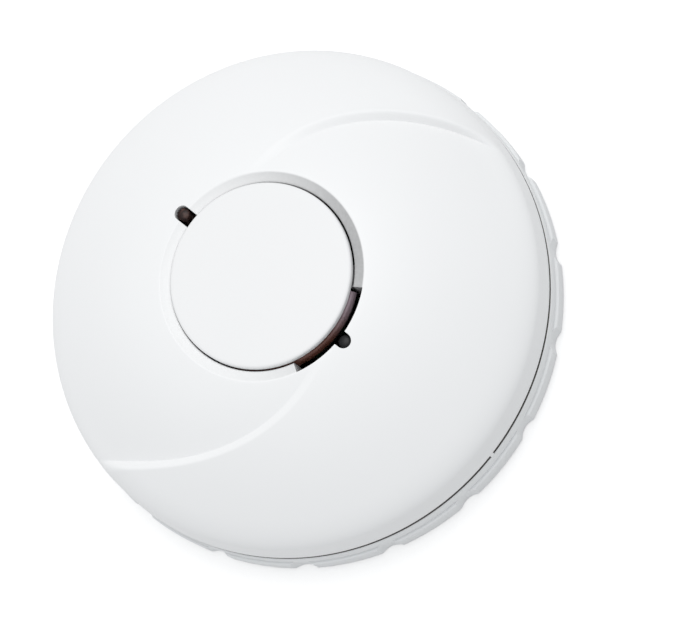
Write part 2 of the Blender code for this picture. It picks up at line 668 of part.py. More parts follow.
def make_optic(name, angle, finishes):
    """An LED or a photodiode: a domed body lying in its cradle, aimed at the chamber's middle."""
    body = bmesh.new()
    radius = OPTIC_BODY_RADIUS
    outline = [(0.0, 0.0), (radius, 0.0), (radius, OPTIC_LENGTH)]
    outline += arc((0.0, OPTIC_LENGTH), radius, 0.0, 90.0, 3)[1:]
    turn(body, outline, steps=12)
    centre = polar(OPTIC_RADIUS - GAP, angle)
    lay = Matrix.Rotation(math.radians(angle + 180.0), 4, "Z") @ Matrix.Rotation(math.radians(90.0), 4, "Y")
    height = CHAMBER_BASE_TOP_Z + GAP + radius
    place = Matrix.Translation(Vector((*centre, height)) * MM)
    bmesh.ops.transform(body, matrix=place @ lay, verts=body.verts)
    return solid(name, body, finishes["lens"])


# The board and what it carries -----------------------------------------------------------------------
def make_circuit_board(finishes):
    body = bmesh.new()
    outline = [(0.0, BOARD_Z), (BOARD_RADIUS, BOARD_Z), (BOARD_RADIUS, BOARD_TOP_Z), (0.0, BOARD_TOP_Z)]
    turn(body, outline, steps=48)
    board = solid("circuit_board", body, finishes["board"])
    holes = bmesh.new()
    clear = 0.4
    bay = (2 * HOLDER_HALF_OUTSIDE + 2 * clear, 2 * HOLDER_OUTER_RADIUS + 2 * clear)
    block(holes, (0.0, CELL_CENTRE_Y), bay, BOARD_Z - 1.0, BOARD_TOP_Z + 1.0)
    for radius, angle in BOARD_SCREWS:
        cylinder(holes, polar(radius, angle), SCREW_RADIUS + GAP, BOARD_Z - 1.0, BOARD_TOP_Z + 1.0, 12)
    for radius, angle in COVER_SCREWS:
        cylinder(holes, polar(radius, angle), BOSS_RADIUS + clear, BOARD_Z - 1.0, BOARD_TOP_Z + 1.0, 16)
    cut(board, "holes", holes)
    return board


def make_switch_body(finishes):
    body = bmesh.new()
    centre = polar(SWITCH_CENTRE, SWITCH_ANGLE)
    block(body, centre, (SWITCH_SIZE, SWITCH_SIZE), PARTS_Z, PARTS_Z + SWITCH_HEIGHT, SWITCH_ANGLE)
    switch = solid("switch_body", body, finishes["black"])
    bore = bmesh.new()
    cylinder(bore, centre, PLUNGER_RADIUS + GAP, PARTS_Z + 1.0, PARTS_Z + SWITCH_HEIGHT + 1.0, 16)
    cut(switch, "bore", bore)
    return switch


def make_switch_plunger(finishes):
    body = bmesh.new()
    centre = polar(SWITCH_CENTRE, SWITCH_ANGLE)
    low = PARTS_Z + 1.0 + BUTTON_TRAVEL + 2 * GAP
    cylinder(body, centre, PLUNGER_RADIUS, low, PLUNGER_TOP_Z, 16)
    return solid("switch_plunger", body, finishes["white"], (*centre, PLUNGER_TOP_Z))


def make_indicator(name, angle, finishes):
    """A board LED and the light pipe that carries its light up into a notch in the cover."""
    centre = polar(NOTCH_CENTRE, angle)
    lamp = bmesh.new()
    low = PARTS_Z
    flange, high = LED_RADIUS + LED_FLANGE, low + LED_HEIGHT
    turn(lamp, [(0.0, low), (flange, low), (flange, low + 0.8), (LED_RADIUS, low + 0.8),
                (LED_RADIUS, high - 0.5), (LED_RADIUS - 0.5, high), (0.0, high)], steps=14, centre=centre)
    solid(name + "_led", lamp, finishes["lens"])
    pipe = bmesh.new()
    radius = NOTCH_WIDTH / 2 - GAP
    start = low + LED_HEIGHT + GAP
    turn(pipe, [(0.0, start), (radius, start), (radius, PIPE_TOP_Z - 0.6), (radius * 0.7, PIPE_TOP_Z - 0.15),
                (0.0, PIPE_TOP_Z)], steps=14, centre=centre)
    solid(name + "_light_pipe", pipe, finishes["lens"])


def make_horn(finishes):
    centre = polar(HORN_CENTRE, HORN_ANGLE)
    low, high = PARTS_Z, PARTS_Z + HORN_HEIGHT
    inner = HORN_RADIUS - HORN_WALL
    ledge = low + HORN_LEDGE
    throat = PIEZO_RADIUS - 0.8
    body = bmesh.new()
    turn(body, [
        (inner, low), (HORN_RADIUS, low), (HORN_RADIUS, high - 0.6), (HORN_RADIUS - 0.6, high),
        (HORN_PORT_RADIUS, high), (HORN_PORT_RADIUS, high - HORN_WALL), (throat, high - HORN_WALL),
        (throat, ledge), (inner, ledge),
    ], steps=28, centre=centre)
    solid("horn_housing", body, finishes["black"])
    plate = bmesh.new()
    disc_z = ledge - GAP - PIEZO_THICKNESS
    cylinder(plate, centre, PIEZO_RADIUS, disc_z, disc_z + PIEZO_THICKNESS, 32)
    solid("piezo_disc", plate, finishes["brass"])
    for count, offset in enumerate(HORN_SPRING_OFFSETS):
        place = (centre[0] - offset, centre[1])
        points = coil(place, HORN_SPRING_RADIUS, low + THIN_WIRE, disc_z - GAP - THIN_WIRE, 3, 8)
        wire("horn_contact_spring_" + str(count + 1), points, THIN_WIRE, finishes["steel"], 0)


def make_board_parts(finishes):
    low = PARTS_Z
    chip = bmesh.new()
    block(chip, CHIP_PLACE, (CHIP_SIZE, CHIP_SIZE), low, low + CHIP_HEIGHT)
    solid("microcontroller", chip, finishes["black"])
    can = bmesh.new()
    top = low + CAN_HEIGHT
    turn(can, [(0.0, low), (CAN_RADIUS, low), (CAN_RADIUS, low + 1.2), (CAN_RADIUS - 0.2, low + 1.5),
               (CAN_RADIUS, low + 1.8), (CAN_RADIUS, top - 0.4), (CAN_RADIUS - 0.35, top), (0.0, top)],
         steps=20, centre=CAN_PLACE)
    solid("reservoir_capacitor", can, finishes["cell"])
    core = bmesh.new()
    first, second, high = low + COIL_FLANGE, low + COIL_HEIGHT - COIL_FLANGE, low + COIL_HEIGHT
    turn(core, [(0.0, low), (COIL_RADIUS, low), (COIL_RADIUS, first), (COIL_CORE_RADIUS, first),
                (COIL_CORE_RADIUS, second), (COIL_RADIUS, second), (COIL_RADIUS, high), (0.0, high)],
         steps=20, centre=COIL_PLACE)
    solid("horn_coil_core", core, finishes["black"])
    winding = bmesh.new()
    inner = COIL_CORE_RADIUS + GAP
    turn(winding, [(inner, first + GAP), (WINDING_RADIUS, first + GAP), (WINDING_RADIUS, second - GAP),
                   (inner, second - GAP)], steps=20, centre=COIL_PLACE)
    solid("horn_coil_winding", winding, finishes["copper"])


def make_screw(name, centre, head_z, length, upwards, finishes):
    """A pan-head screw. Upwards means that its shank points to +Z from a head below."""
    body = bmesh.new()
    recess = -SCREW_HEAD_HEIGHT + SCREW_SLOT_DEPTH
    outline = [
        (0.0, recess), (1.0, recess), (1.0, -SCREW_HEAD_HEIGHT),
        (SCREW_HEAD_RADIUS - 0.4, -SCREW_HEAD_HEIGHT), (SCREW_HEAD_RADIUS, -SCREW_HEAD_HEIGHT + 0.4),
        (SCREW_HEAD_RADIUS, 0.0), (SCREW_RADIUS, 0.0), (SCREW_RADIUS, length - 1.0), (0.0, length),
    ]
    sign = 1.0 if upwards else -1.0
    turn(body, [(radius, head_z + sign * z) for radius, z in outline], steps=12, centre=centre)
    solid(name, body, finishes["steel"])


def make_screws(finishes):
    for count, (radius, angle) in enumerate(BOARD_SCREWS):
        name = "board_screw_" + str(count + 1)
        make_screw(name, polar(radius, angle), BOARD_TOP_Z + GAP, BOARD_THICKNESS + 2.2, False, finishes)
    for count, (radius, angle) in enumerate(COVER_SCREWS):
        name = "cover_screw_" + str(count + 1)
        make_screw(name, polar(radius, angle), COVER_SCREW_Z, COVER_SCREW_LENGTH, True, finishes)


# The power supply ------------------------------------------------------------------------------------
def holder_outline(radius, low):
    """An arch over the cell, as (y, z)."""
    legs = [(CELL_CENTRE_Y - radius, low)]
    return [(CELL_CENTRE_Y + radius, low)] + arc((CELL_CENTRE_Y, CELL_Z), radius, 0.0, 180.0, 12) + legs


def make_battery_holder(finishes):
    body = bmesh.new()
    outline = holder_outline(HOLDER_OUTER_RADIUS, FLOOR_TOP_Z + GAP)
    along_x(body, outline, -HOLDER_HALF_OUTSIDE, HOLDER_HALF_OUTSIDE)
    holder = solid("battery_holder", body, finishes["black"])
    bay = bmesh.new()
    along_x(bay, holder_outline(HOLDER_INNER_RADIUS, FLOOR_Z), -HOLDER_HALF_LENGTH, HOLDER_HALF_LENGTH)
    cut(holder, "bay", bay)
    slots = bmesh.new()
    for side in (-1.0, 1.0):
        middle = side * (HOLDER_HALF_LENGTH + HOLDER_WALL / 2)
        size = (HOLDER_WALL * 2, CONTACT_TAB_WIDTH + 1.0)
        block(slots, (middle, CELL_CENTRE_Y), size, CONTACT_TAB_Z - GAP, CONTACT_TAB_Z + CONTACT_THICKNESS + GAP)
    cut(holder, "tab_slots", slots)
    return holder


def make_cell(finishes):
    start = -HOLDER_HALF_LENGTH + GAP + SPRING_SPACE
    body = bmesh.new()
    can_length = CELL_LENGTH - CELL_NUB_LENGTH
    turn(body, [
        (0.0, 0.0), (CELL_RADIUS - 0.5, 0.0), (CELL_RADIUS, 0.5), (CELL_RADIUS, can_length - 0.5),
        (CELL_RADIUS - 0.5, can_length), (CELL_NUB_RADIUS, can_length), (CELL_NUB_RADIUS, CELL_LENGTH),
        (0.0, CELL_LENGTH),
    ], steps=24)
    lay = Matrix.Rotation(math.radians(90.0), 4, "Y")
    place = Matrix.Translation(Vector((start, CELL_CENTRE_Y, CELL_Z)) * MM)
    bmesh.ops.transform(body, matrix=place @ lay, verts=body.verts)
    return solid("lithium_cell", body, finishes["cell"])


def make_contacts(finishes):
    """Two plates with tabs that pass out through the holder's end walls."""
    for name, side in (("positive_contact", 1.0), ("negative_contact", -1.0)):
        outer = side * (HOLDER_HALF_LENGTH - GAP)
        inner = outer - side * CONTACT_THICKNESS
        body = bmesh.new()
        size, top = (CONTACT_THICKNESS, CONTACT_WIDTH), CONTACT_TAB_Z + CONTACT_THICKNESS
        block(body, ((outer + inner) / 2, CELL_CENTRE_Y), size, CELL_Z - CONTACT_DROP, top)
        plate = solid(name, body, finishes["steel"])
        tab = bmesh.new()
        end = side * (HOLDER_HALF_OUTSIDE + 1.6)
        size = (abs(end - inner), CONTACT_TAB_WIDTH)
        block(tab, ((end + inner) / 2, CELL_CENTRE_Y), size, CONTACT_TAB_Z, top)
        add(plate, "tab", tab)
    low = -HOLDER_HALF_LENGTH + 2 * GAP + CONTACT_THICKNESS + THIN_WIRE
    high = -HOLDER_HALF_LENGTH + SPRING_SPACE - THIN_WIRE
    helix = coil((0.0, 0.0), 2.6, low, high, 2, 10)
    points = [(z, CELL_CENTRE_Y + y, CELL_Z + x) for x, y, z in helix]
    wire("negative_contact_spring", points, THIN_WIRE, finishes["steel"], 0)


def make_leads(finishes):
    tip_x = HOLDER_HALF_OUTSIDE + 1.0
    for name, side, key in (("positive_lead", 1.0, "red"), ("negative_lead", -1.0, "lead")):
        corners = [
            (side * tip_x, CELL_CENTRE_Y, CONTACT_TAB_Z - GAP - LEAD_RADIUS),
            (side * (tip_x + 1.6), CELL_CENTRE_Y - 1.5, CONTACT_TAB_Z - 3.2),
            (side * (tip_x + 1.8), CELL_CENTRE_Y - 5.5, CONTACT_TAB_Z - 6.2),
            (side * (tip_x + 1.8), CELL_CENTRE_Y - 8.5, PARTS_Z + 0.1),
        ]
        wire(name, smooth_route(corners, 4), LEAD_RADIUS, finishes[key], 2)


def hatch_outline():
    """The hatch's section as (y, z), rounded about its hinge."""
    half = HATCH_THICKNESS / 2
    free_y = OPENING_INNER_Y + GAP
    return [(free_y, FLOOR_Z), (HINGE_Y, FLOOR_Z)] + arc((HINGE_Y, HINGE_Z), half, -90.0, 90.0, 6)[1:] + [
        (free_y, FLOOR_Z + HATCH_THICKNESS)
    ]


def make_battery_hatch(finishes):
    body = bmesh.new()
    half = HOLDER_HALF_LENGTH - GAP
    along_x(body, hatch_outline(), -half, half)
    hatch = solid("battery_hatch", body, finishes["back"], (0.0, HINGE_Y, HINGE_Z))
    pins = bmesh.new()
    for side in (-1.0, 1.0):
        ends = sorted((side * (half - 1.0), side * (half + HATCH_TRUNNION_LENGTH)))
        along_x(pins, arc((HINGE_Y, HINGE_Z), HATCH_TRUNNION_RADIUS, 0.0, 330.0, 11), *ends)
    add(hatch, "trunnions", pins)
    grip = bmesh.new()
    centre = (OPENING_INNER_Y + 3.0 * GROOVE_RADIUS, FLOOR_Z - 0.4 * GROOVE_RADIUS)
    along_x(grip, arc(centre, GROOVE_RADIUS, 0.0, 330.0, 11), -GROOVE_LENGTH / 2, GROOVE_LENGTH / 2)
    cut(hatch, "finger_groove", grip)
    return hatch


# The housing and the bracket -------------------------------------------------------------------------
def make_back_housing(finishes):
    spigot_outer = COVER_RADIUS - WALL - GAP
    lean = COVER_DRAFT * (SPIGOT_TOP_Z - SEAM_Z) / (SIDE_TOP_Z - 0.5 - SEAM_Z)
    spigot_inner = spigot_outer - lean - SPIGOT_THICKNESS
    rebate = BRACKET_RADIUS - WALL - 1.2
    band_top = SEAM_Z - GAP / 2
    body = bmesh.new()
    edge, bottom = 0.3, HOUSING_BOTTOM_Z
    turn(body, [
        (0.0, FLOOR_Z), (rebate, FLOOR_Z), (rebate, bottom), (HOUSING_RADIUS - edge, bottom),
        (HOUSING_RADIUS, bottom + edge), (HOUSING_RADIUS, band_top), (spigot_outer, band_top),
        (spigot_outer - lean, SPIGOT_TOP_Z), (spigot_inner, SPIGOT_TOP_Z), (spigot_inner, FLOOR_TOP_Z),
        (0.0, FLOOR_TOP_Z),
    ])
    housing = solid("back_housing", body, finishes["back"])
    lugs = bmesh.new()
    for angle in LOCK_ANGLES:
        turn(lugs, [
            (LUG_RADIUS, LUG_Z), (LUG_TIP_RADIUS, LUG_Z), (LUG_TIP_RADIUS, LUG_Z + LUG_LIP),
            (LUG_RADIUS + LUG_STEM, LUG_Z + LUG_LIP), (LUG_RADIUS + LUG_STEM, FLOOR_Z + 0.5),
            (LUG_RADIUS, FLOOR_Z + 0.5),
        ], angle - LOCK_HALF_ANGLE, angle + LOCK_HALF_ANGLE, 3)
    for radius, angle in BOARD_SCREWS:
        cylinder(lugs, polar(radius, angle), POST_RADIUS, FLOOR_TOP_Z - 0.5, BOARD_Z - GAP, 14)
    add(housing, "lugs_and_posts", lugs)
    holes = bmesh.new()
    side = HOLDER_HALF_LENGTH
    middle = (OPENING_INNER_Y + OPENING_OUTER_Y) / 2
    size = (2 * side, OPENING_OUTER_Y - OPENING_INNER_Y)
    block(holes, (0.0, middle), size, FLOOR_Z - 1.0, FLOOR_TOP_Z + 1.0)
    for radius, angle in BOARD_SCREWS:
        cylinder(holes, polar(radius, angle), SCREW_RADIUS + GAP, FLOOR_TOP_Z - 0.8, BOARD_Z + 1.0, 12)
    for radius, angle in COVER_SCREWS:
        head_z = COVER_SCREW_Z + GAP
        turn(holes, [
            (0.0, FLOOR_Z - 1.0), (SCREW_HEAD_RADIUS + GAP, FLOOR_Z - 1.0), (SCREW_HEAD_RADIUS + GAP, head_z),
            (SCREW_RADIUS + GAP, head_z), (SCREW_RADIUS + GAP, FLOOR_TOP_Z + 1.0), (0.0, FLOOR_TOP_Z + 1.0),
        ], steps=12, centre=polar(radius, angle))
    cut(housing, "holes", holes)
    sockets = bmesh.new()
    socket = HATCH_TRUNNION_RADIUS + TRUNNION_CLEARANCE
    for sign in (-1.0, 1.0):
        ends = sorted((sign * (side - 1.0), sign * (side + HATCH_TRUNNION_LENGTH)))
        along_x(sockets, arc((HINGE_Y, HINGE_Z), socket, 15.0, 345.0, 11), *ends)
    cut(housing, "sockets", sockets)
    key = bmesh.new()
    inner, outer = COVER_RADIUS - WALL / 2 - GAP, HOUSING_RADIUS + 1.0
    low, high = SEAM_Z - SEAM_KEY_DROP - GAP, SEAM_Z + 1.0
    half_angle = SEAM_KEY_HALF_ANGLE + 0.4
    turn(key, [(inner, low), (outer, low), (outer, high), (inner, high)],
         NOTCH_ANGLES[1] - half_angle, NOTCH_ANGLES[1] + half_angle, 2)
    cut(housing, "key_slot", key)
    return housing


def make_mounting_bracket(finishes):
    inner = BRACKET_RADIUS - WALL
    edge = 0.5
    body = bmesh.new()
    turn(body, [
        (BRACKET_OPENING, 0.0), (BRACKET_RADIUS - edge, 0.0), (BRACKET_RADIUS, edge),
        (BRACKET_RADIUS, BRACKET_HEIGHT), (inner, BRACKET_HEIGHT), (inner, WALL), (BRACKET_OPENING, WALL),
    ])
    bracket = solid("mounting_bracket", body, finishes["back"])
    ears = bmesh.new()
    for side in (-1.0, 1.0):
        middle = side * (EAR_REACH + BRACKET_OPENING + 1.5) / 2
        block(ears, (middle, 0.0), (BRACKET_OPENING + 1.5 - EAR_REACH, EAR_WIDTH), 0.0, WALL)
    add(bracket, "ears", ears)
    hooks = bmesh.new()
    post = LUG_TIP_RADIUS + GAP + 0.1
    tip = post + LOCK_WALL
    top = LOCK_Z + LOCK_LIP
    for angle in LOCK_ANGLES:
        stop = math.degrees(GAP / LUG_RADIUS)
        turn(hooks, [
            (LOCK_RADIUS, LOCK_Z), (LOCK_RADIUS, top), (tip, top), (tip, WALL - 0.5), (post, WALL - 0.5),
            (post, LOCK_Z),
        ], angle - LOCK_HALF_ANGLE - stop, angle + LOCK_HALF_ANGLE, 3)
        turn(hooks, [(LOCK_RADIUS, WALL - 0.5), (LOCK_RADIUS, top), (tip, top), (tip, WALL - 0.5)],
             angle - LOCK_HALF_ANGLE - stop - LOCK_STOP_ANGLE, angle - LOCK_HALF_ANGLE - stop, 1)
    add(bracket, "hooks", hooks)
    bracket.modifiers["hooks"].use_self = True
    grips = bmesh.new()
    for count in range(GRIP_COUNT):
        centre = polar(BRACKET_RADIUS - GRIP_DEPTH + GRIP_RADIUS, GRIP_PHASE + 360.0 * count / GRIP_COUNT)
        cylinder(grips, centre, GRIP_RADIUS, -1.0, BRACKET_HEIGHT + 1.0, 14)
    for side in (-1.0, 1.0):
        x = side * FIXING_SPACING / 2
        half = (FIXING_SLOT_LENGTH - FIXING_SLOT_WIDTH) / 2
        outline = arc((x, half), FIXING_SLOT_WIDTH / 2, 0.0, 180.0, 8)
        outline += arc((x, -half), FIXING_SLOT_WIDTH / 2, 180.0, 360.0, 8)
        upright(grips, outline, -1.0, WALL + 1.0)
    cut(bracket, "grips_and_slots", grips)
    return bracket


# Assembly --------------------------------------------------------------------------------------------
def clear_scene():
    for item in list(bpy.data.objects):
        bpy.data.objects.remove(item, do_unlink=True)


def main():
    clear_scene()
    finishes = make_finishes()
    make_mounting_bracket(finishes)
    make_back_housing(finishes)
    make_front_cover(finishes)
    make_test_button(finishes)
    make_button_spring(finishes)
    make_chamber_base(finishes)
    make_insect_screen(finishes)
    make_chamber_cap(finishes)
    make_optic("infrared_led", OPTIC_ANGLES[0], finishes)
    make_optic("photodiode", OPTIC_ANGLES[1], finishes)
    make_circuit_board(finishes)
    make_switch_body(finishes)
    make_switch_plunger(finishes)
    make_indicator("status", NOTCH_ANGLES[0], finishes)
    make_indicator("alarm", NOTCH_ANGLES[1], finishes)
    make_horn(finishes)
    make_board_parts(finishes)
    make_screws(finishes)
    make_battery_holder(finishes)
    make_cell(finishes)
    make_contacts(finishes)
    make_leads(finishes)
    make_battery_hatch(finishes)


main()
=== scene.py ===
# %% [markdown]
# # A round smoke alarm
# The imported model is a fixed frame: each piece made here takes its place from it, and rides on one of its
# bodies. Lengths are written in millimetres, because a small moulded product is drawn that way, and turned
# into metres by one factor when a mesh is made.

# %% Load the frame
import math

import bmesh
import bpy
from mathutils import Matrix, Vector


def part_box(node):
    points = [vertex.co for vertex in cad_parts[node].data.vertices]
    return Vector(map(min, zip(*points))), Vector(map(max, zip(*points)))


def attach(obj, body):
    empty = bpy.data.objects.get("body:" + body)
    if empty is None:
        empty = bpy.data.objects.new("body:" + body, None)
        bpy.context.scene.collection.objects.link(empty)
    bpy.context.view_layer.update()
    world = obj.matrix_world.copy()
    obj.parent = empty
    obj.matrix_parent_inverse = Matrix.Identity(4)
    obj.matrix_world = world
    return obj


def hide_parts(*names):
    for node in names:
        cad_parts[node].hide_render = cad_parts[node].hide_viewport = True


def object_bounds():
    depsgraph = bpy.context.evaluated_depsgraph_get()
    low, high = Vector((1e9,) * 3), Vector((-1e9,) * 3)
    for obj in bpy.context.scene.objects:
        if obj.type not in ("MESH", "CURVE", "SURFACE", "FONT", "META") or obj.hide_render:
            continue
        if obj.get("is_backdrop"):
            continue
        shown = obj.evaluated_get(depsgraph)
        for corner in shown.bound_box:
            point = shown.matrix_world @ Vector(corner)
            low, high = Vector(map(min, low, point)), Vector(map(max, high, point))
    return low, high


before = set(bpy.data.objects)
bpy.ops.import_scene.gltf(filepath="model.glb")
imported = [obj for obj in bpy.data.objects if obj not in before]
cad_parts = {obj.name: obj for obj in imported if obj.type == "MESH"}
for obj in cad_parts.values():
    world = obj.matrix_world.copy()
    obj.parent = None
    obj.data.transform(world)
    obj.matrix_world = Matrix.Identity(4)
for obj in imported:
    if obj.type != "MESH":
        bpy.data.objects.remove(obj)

cad_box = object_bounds()
MM = 0.001


# %% [markdown]
# ## Measures from the frame
# A helper reads a node's box in millimetres. Radii come from how far each round node reaches from the
# middle, so the fine pieces follow the frame if a size in it changes.

# %% Measures
def reach(node):
    """Lowest and highest corners of a node, in millimetres."""
    low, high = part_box(node)
    return low / MM, high / MM


GAP = 0.3
WALL = 2.0
cover_low, cover_high = reach("front_cover")
housing_low, housing_high = reach("back_housing")
bracket_low, bracket_high = reach("mounting_bracket")
button_low, button_high = reach("test_button")
cap_low, cap_high = reach("chamber_cap")
screen_low, screen_high = reach("insect_screen")
hatch_low, hatch_high = reach("battery_hatch")
COVER_RADIUS = cover_high.x
HOUSING_RADIUS = housing_high.x
BRACKET_RADIUS = bracket_high.x
BUTTON_TOP_Z = button_high.z
CAP_RADIUS = cap_high.y
SEAM_Z = 8.8
FLOOR_Z = 5.2
FLOOR_TOP_Z = 7.2
print("cover radius", round(COVER_RADIUS, 2), "button top", round(BUTTON_TOP_Z, 2))


# %% [markdown]
# ## Round shapes
# Almost everything on this alarm is turned, so one function sweeps a closed outline of (radius, height)
# round an upright axis, for a whole turn or part of one. Others make arcs, smooth curves and straight
# prisms. Doubles are merged first and normals recalculated after, so that every shell faces outwards.

# %% Shape helpers
def polar(radius, degrees):
    angle = math.radians(degrees)
    return radius * math.cos(angle), radius * math.sin(angle)


def arc(centre, radius, start, end, steps):
    points = []
    for step in range(steps + 1):
        angle = math.radians(start + (end - start) * step / steps)
        points.append((centre[0] + radius * math.cos(angle), centre[1] + radius * math.sin(angle)))
    return points


def curve_between(start, corner, end, steps):
    """Points of a smooth curve from start to end, both aimed at corner."""
    points = []
    for step in range(steps + 1):
        t = step / steps
        places = zip(start, corner, end)
        points.append(tuple((1 - t) ** 2 * a + 2 * t * (1 - t) * b + t * t * c for a, b, c in places))
    return points


def rounded(outline, radius, steps=3):
    """The outline with each of its corners eased by a small curve."""
    result = []
    count = len(outline)
    for i, corner in enumerate(outline):
        here = Vector(corner)
        before = Vector(outline[i - 1]) - here
        after = Vector(outline[(i + 1) % count]) - here
        if abs(here.x) < 1e-6 or before.length < 1e-6 or after.length < 1e-6:
            result.append(tuple(here))
            continue
        first = here + before.normalized() * min(radius, before.length * 0.45)
        last = here + after.normalized() * min(radius, after.length * 0.45)
        result += curve_between(first, here, last, steps)
    return result


def bridge(bm, sections, closed):
    rings = [[bm.verts.new(Vector(point) * MM) for point in section] for section in sections]
    pairs = list(zip(rings, rings[1:]))
    if closed:
        pairs.append((rings[-1], rings[0]))
    for first, second in pairs:
        for i in range(len(first)):
            j = (i + 1) % len(first)
            bm.faces.new((first[i], first[j], second[j], second[i]))
    if not closed:
        bm.faces.new(rings[0])
        bm.faces.new(rings[-1])


def turn(bm, outline, start=0.0, end=360.0, steps=256, centre=(0.0, 0.0)):
    whole = end - start >= 360.0
    sections = []
    for step in range(steps if whole else steps + 1):
        angle = start + (end - start) * step / steps
        section = []
        for radius, z in outline:
            x, y = polar(radius, angle)
            section.append((x + centre[0], y + centre[1], z))
        sections.append(section)
    bridge(bm, sections, whole)


def upright(bm, outline, z0, z1):
    bridge(bm, [[(x, y, z0) for x, y in outline], [(x, y, z1) for x, y in outline]], False)


def along_x(bm, outline, x0, x1):
    bridge(bm, [[(x0, y, z) for y, z in outline], [(x1, y, z) for y, z in outline]], False)


def cylinder(bm, centre, radius, z0, z1, steps=48):
    upright(bm, arc(centre, radius, 0.0, 360.0 - 360.0 / steps, steps - 1), z0, z1)


def block(bm, centre, size, z0, z1, degrees=0.0):
    cos, sin = polar(1.0, degrees)
    half_x, half_y = size[0] / 2, size[1] / 2
    corners = ((-half_x, -half_y), (half_x, -half_y), (half_x, half_y), (-half_x, half_y))
    turned = [(centre[0] + x * cos - y * sin, centre[1] + x * sin + y * cos) for x, y in corners]
    upright(bm, turned, z0, z1)


def mesh_object(name, bm):
    bmesh.ops.remove_doubles(bm, verts=bm.verts, dist=1e-7)
    bmesh.ops.dissolve_degenerate(bm, dist=1e-8, edges=bm.edges)
    bmesh.ops.recalc_face_normals(bm, faces=bm.faces)
    mesh = bpy.data.meshes.new(name)
    bm.to_mesh(mesh)
    bm.free()
    item = bpy.data.objects.new(name, mesh)
    bpy.context.collection.objects.link(item)
    return item


def combine(owner, bm, operation):
    """Adds a shape to the owner, or cuts it away, and applies the result at once."""
    other = mesh_object(owner.name + "_tool", bm)
    modifier = owner.modifiers.new("combine", "BOOLEAN")
    modifier.operation = operation
    modifier.object = other
    graph = bpy.context.evaluated_depsgraph_get()
    result = bpy.data.meshes.new_from_object(owner.evaluated_get(graph))
    owner.modifiers.clear()
    owner.data = result
    bpy.data.objects.remove(other)


def ease_edges(item, width, degrees=38.0, segments=2):
    """Small rounded edges, as a mould leaves them, made part of the mesh."""
    modifier = item.modifiers.new("edges", "BEVEL")
    modifier.width = width * MM
    modifier.segments = segments
    modifier.limit_method = "ANGLE"
    modifier.angle_limit = math.radians(degrees)
    modifier.miter_outer = "MITER_ARC"
    modifier.harden_normals = False
    graph = bpy.context.evaluated_depsgraph_get()
    item.data = bpy.data.meshes.new_from_object(item.evaluated_get(graph))
    item.modifiers.clear()


def place(item, body, slot, material, *nodes, sharp=32.0):
    """The last step for each piece: its finish, its shading, its body and the nodes that it stands for."""
    item.data.materials.clear()
    item.data.materials.append(material)
    item.data.shade_smooth()
    item.data.set_sharp_from_angle(angle=math.radians(sharp))
    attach(item, body)
    if nodes:
        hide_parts(*nodes)
    print(item.name, len(item.data.polygons), "faces on", body)


# %% [markdown]
# ## Shader maths
# A material is a graph of nodes, which is slow to read. Here a number in the graph is a small object that
# knows how to add and multiply, so that a pattern is written as an expression, and each operator makes a
# Math node.

# %% Nodes as expressions
class Number:
    def __init__(self, graph, socket):
        self.graph = graph
        self.socket = socket

    def math(self, operation, first, second):
        return self.graph.node("ShaderNodeMath", {"operation": operation}, {0: first, 1: second}).number()

    def __add__(self, other):
        return self.math("ADD", self, other)

    __radd__ = __add__

    def __sub__(self, other):
        return self.math("SUBTRACT", self, other)

    def __rsub__(self, other):
        return self.math("SUBTRACT", other, self)

    def __mul__(self, other):
        return self.math("MULTIPLY", self, other)

    __rmul__ = __mul__

    def __truediv__(self, other):
        return self.math("DIVIDE", self, other)

    def __pow__(self, other):
        return self.math("POWER", self, other)

    def __rtruediv__(self, other):
        return self.math("DIVIDE", other, self)

    def over(self, edge, soft):
        """0 below the edge and 1 above it, with a soft change of that width."""
        settings = {"interpolation_type": "SMOOTHSTEP"}
        values = {"Value": self, "From Min": edge - soft / 2, "From Max": edge + soft / 2}
        return self.graph.node("ShaderNodeMapRange", settings, values).number()


class Made:
    """A node just made. number() or link() gives one of its outputs."""

    def __init__(self, graph, node):
        self.graph = graph
        self.node = node

    def number(self, output=0):
        return Number(self.graph, self.node.outputs[output])

    def link(self, output=0):
        return self.node.outputs[output]


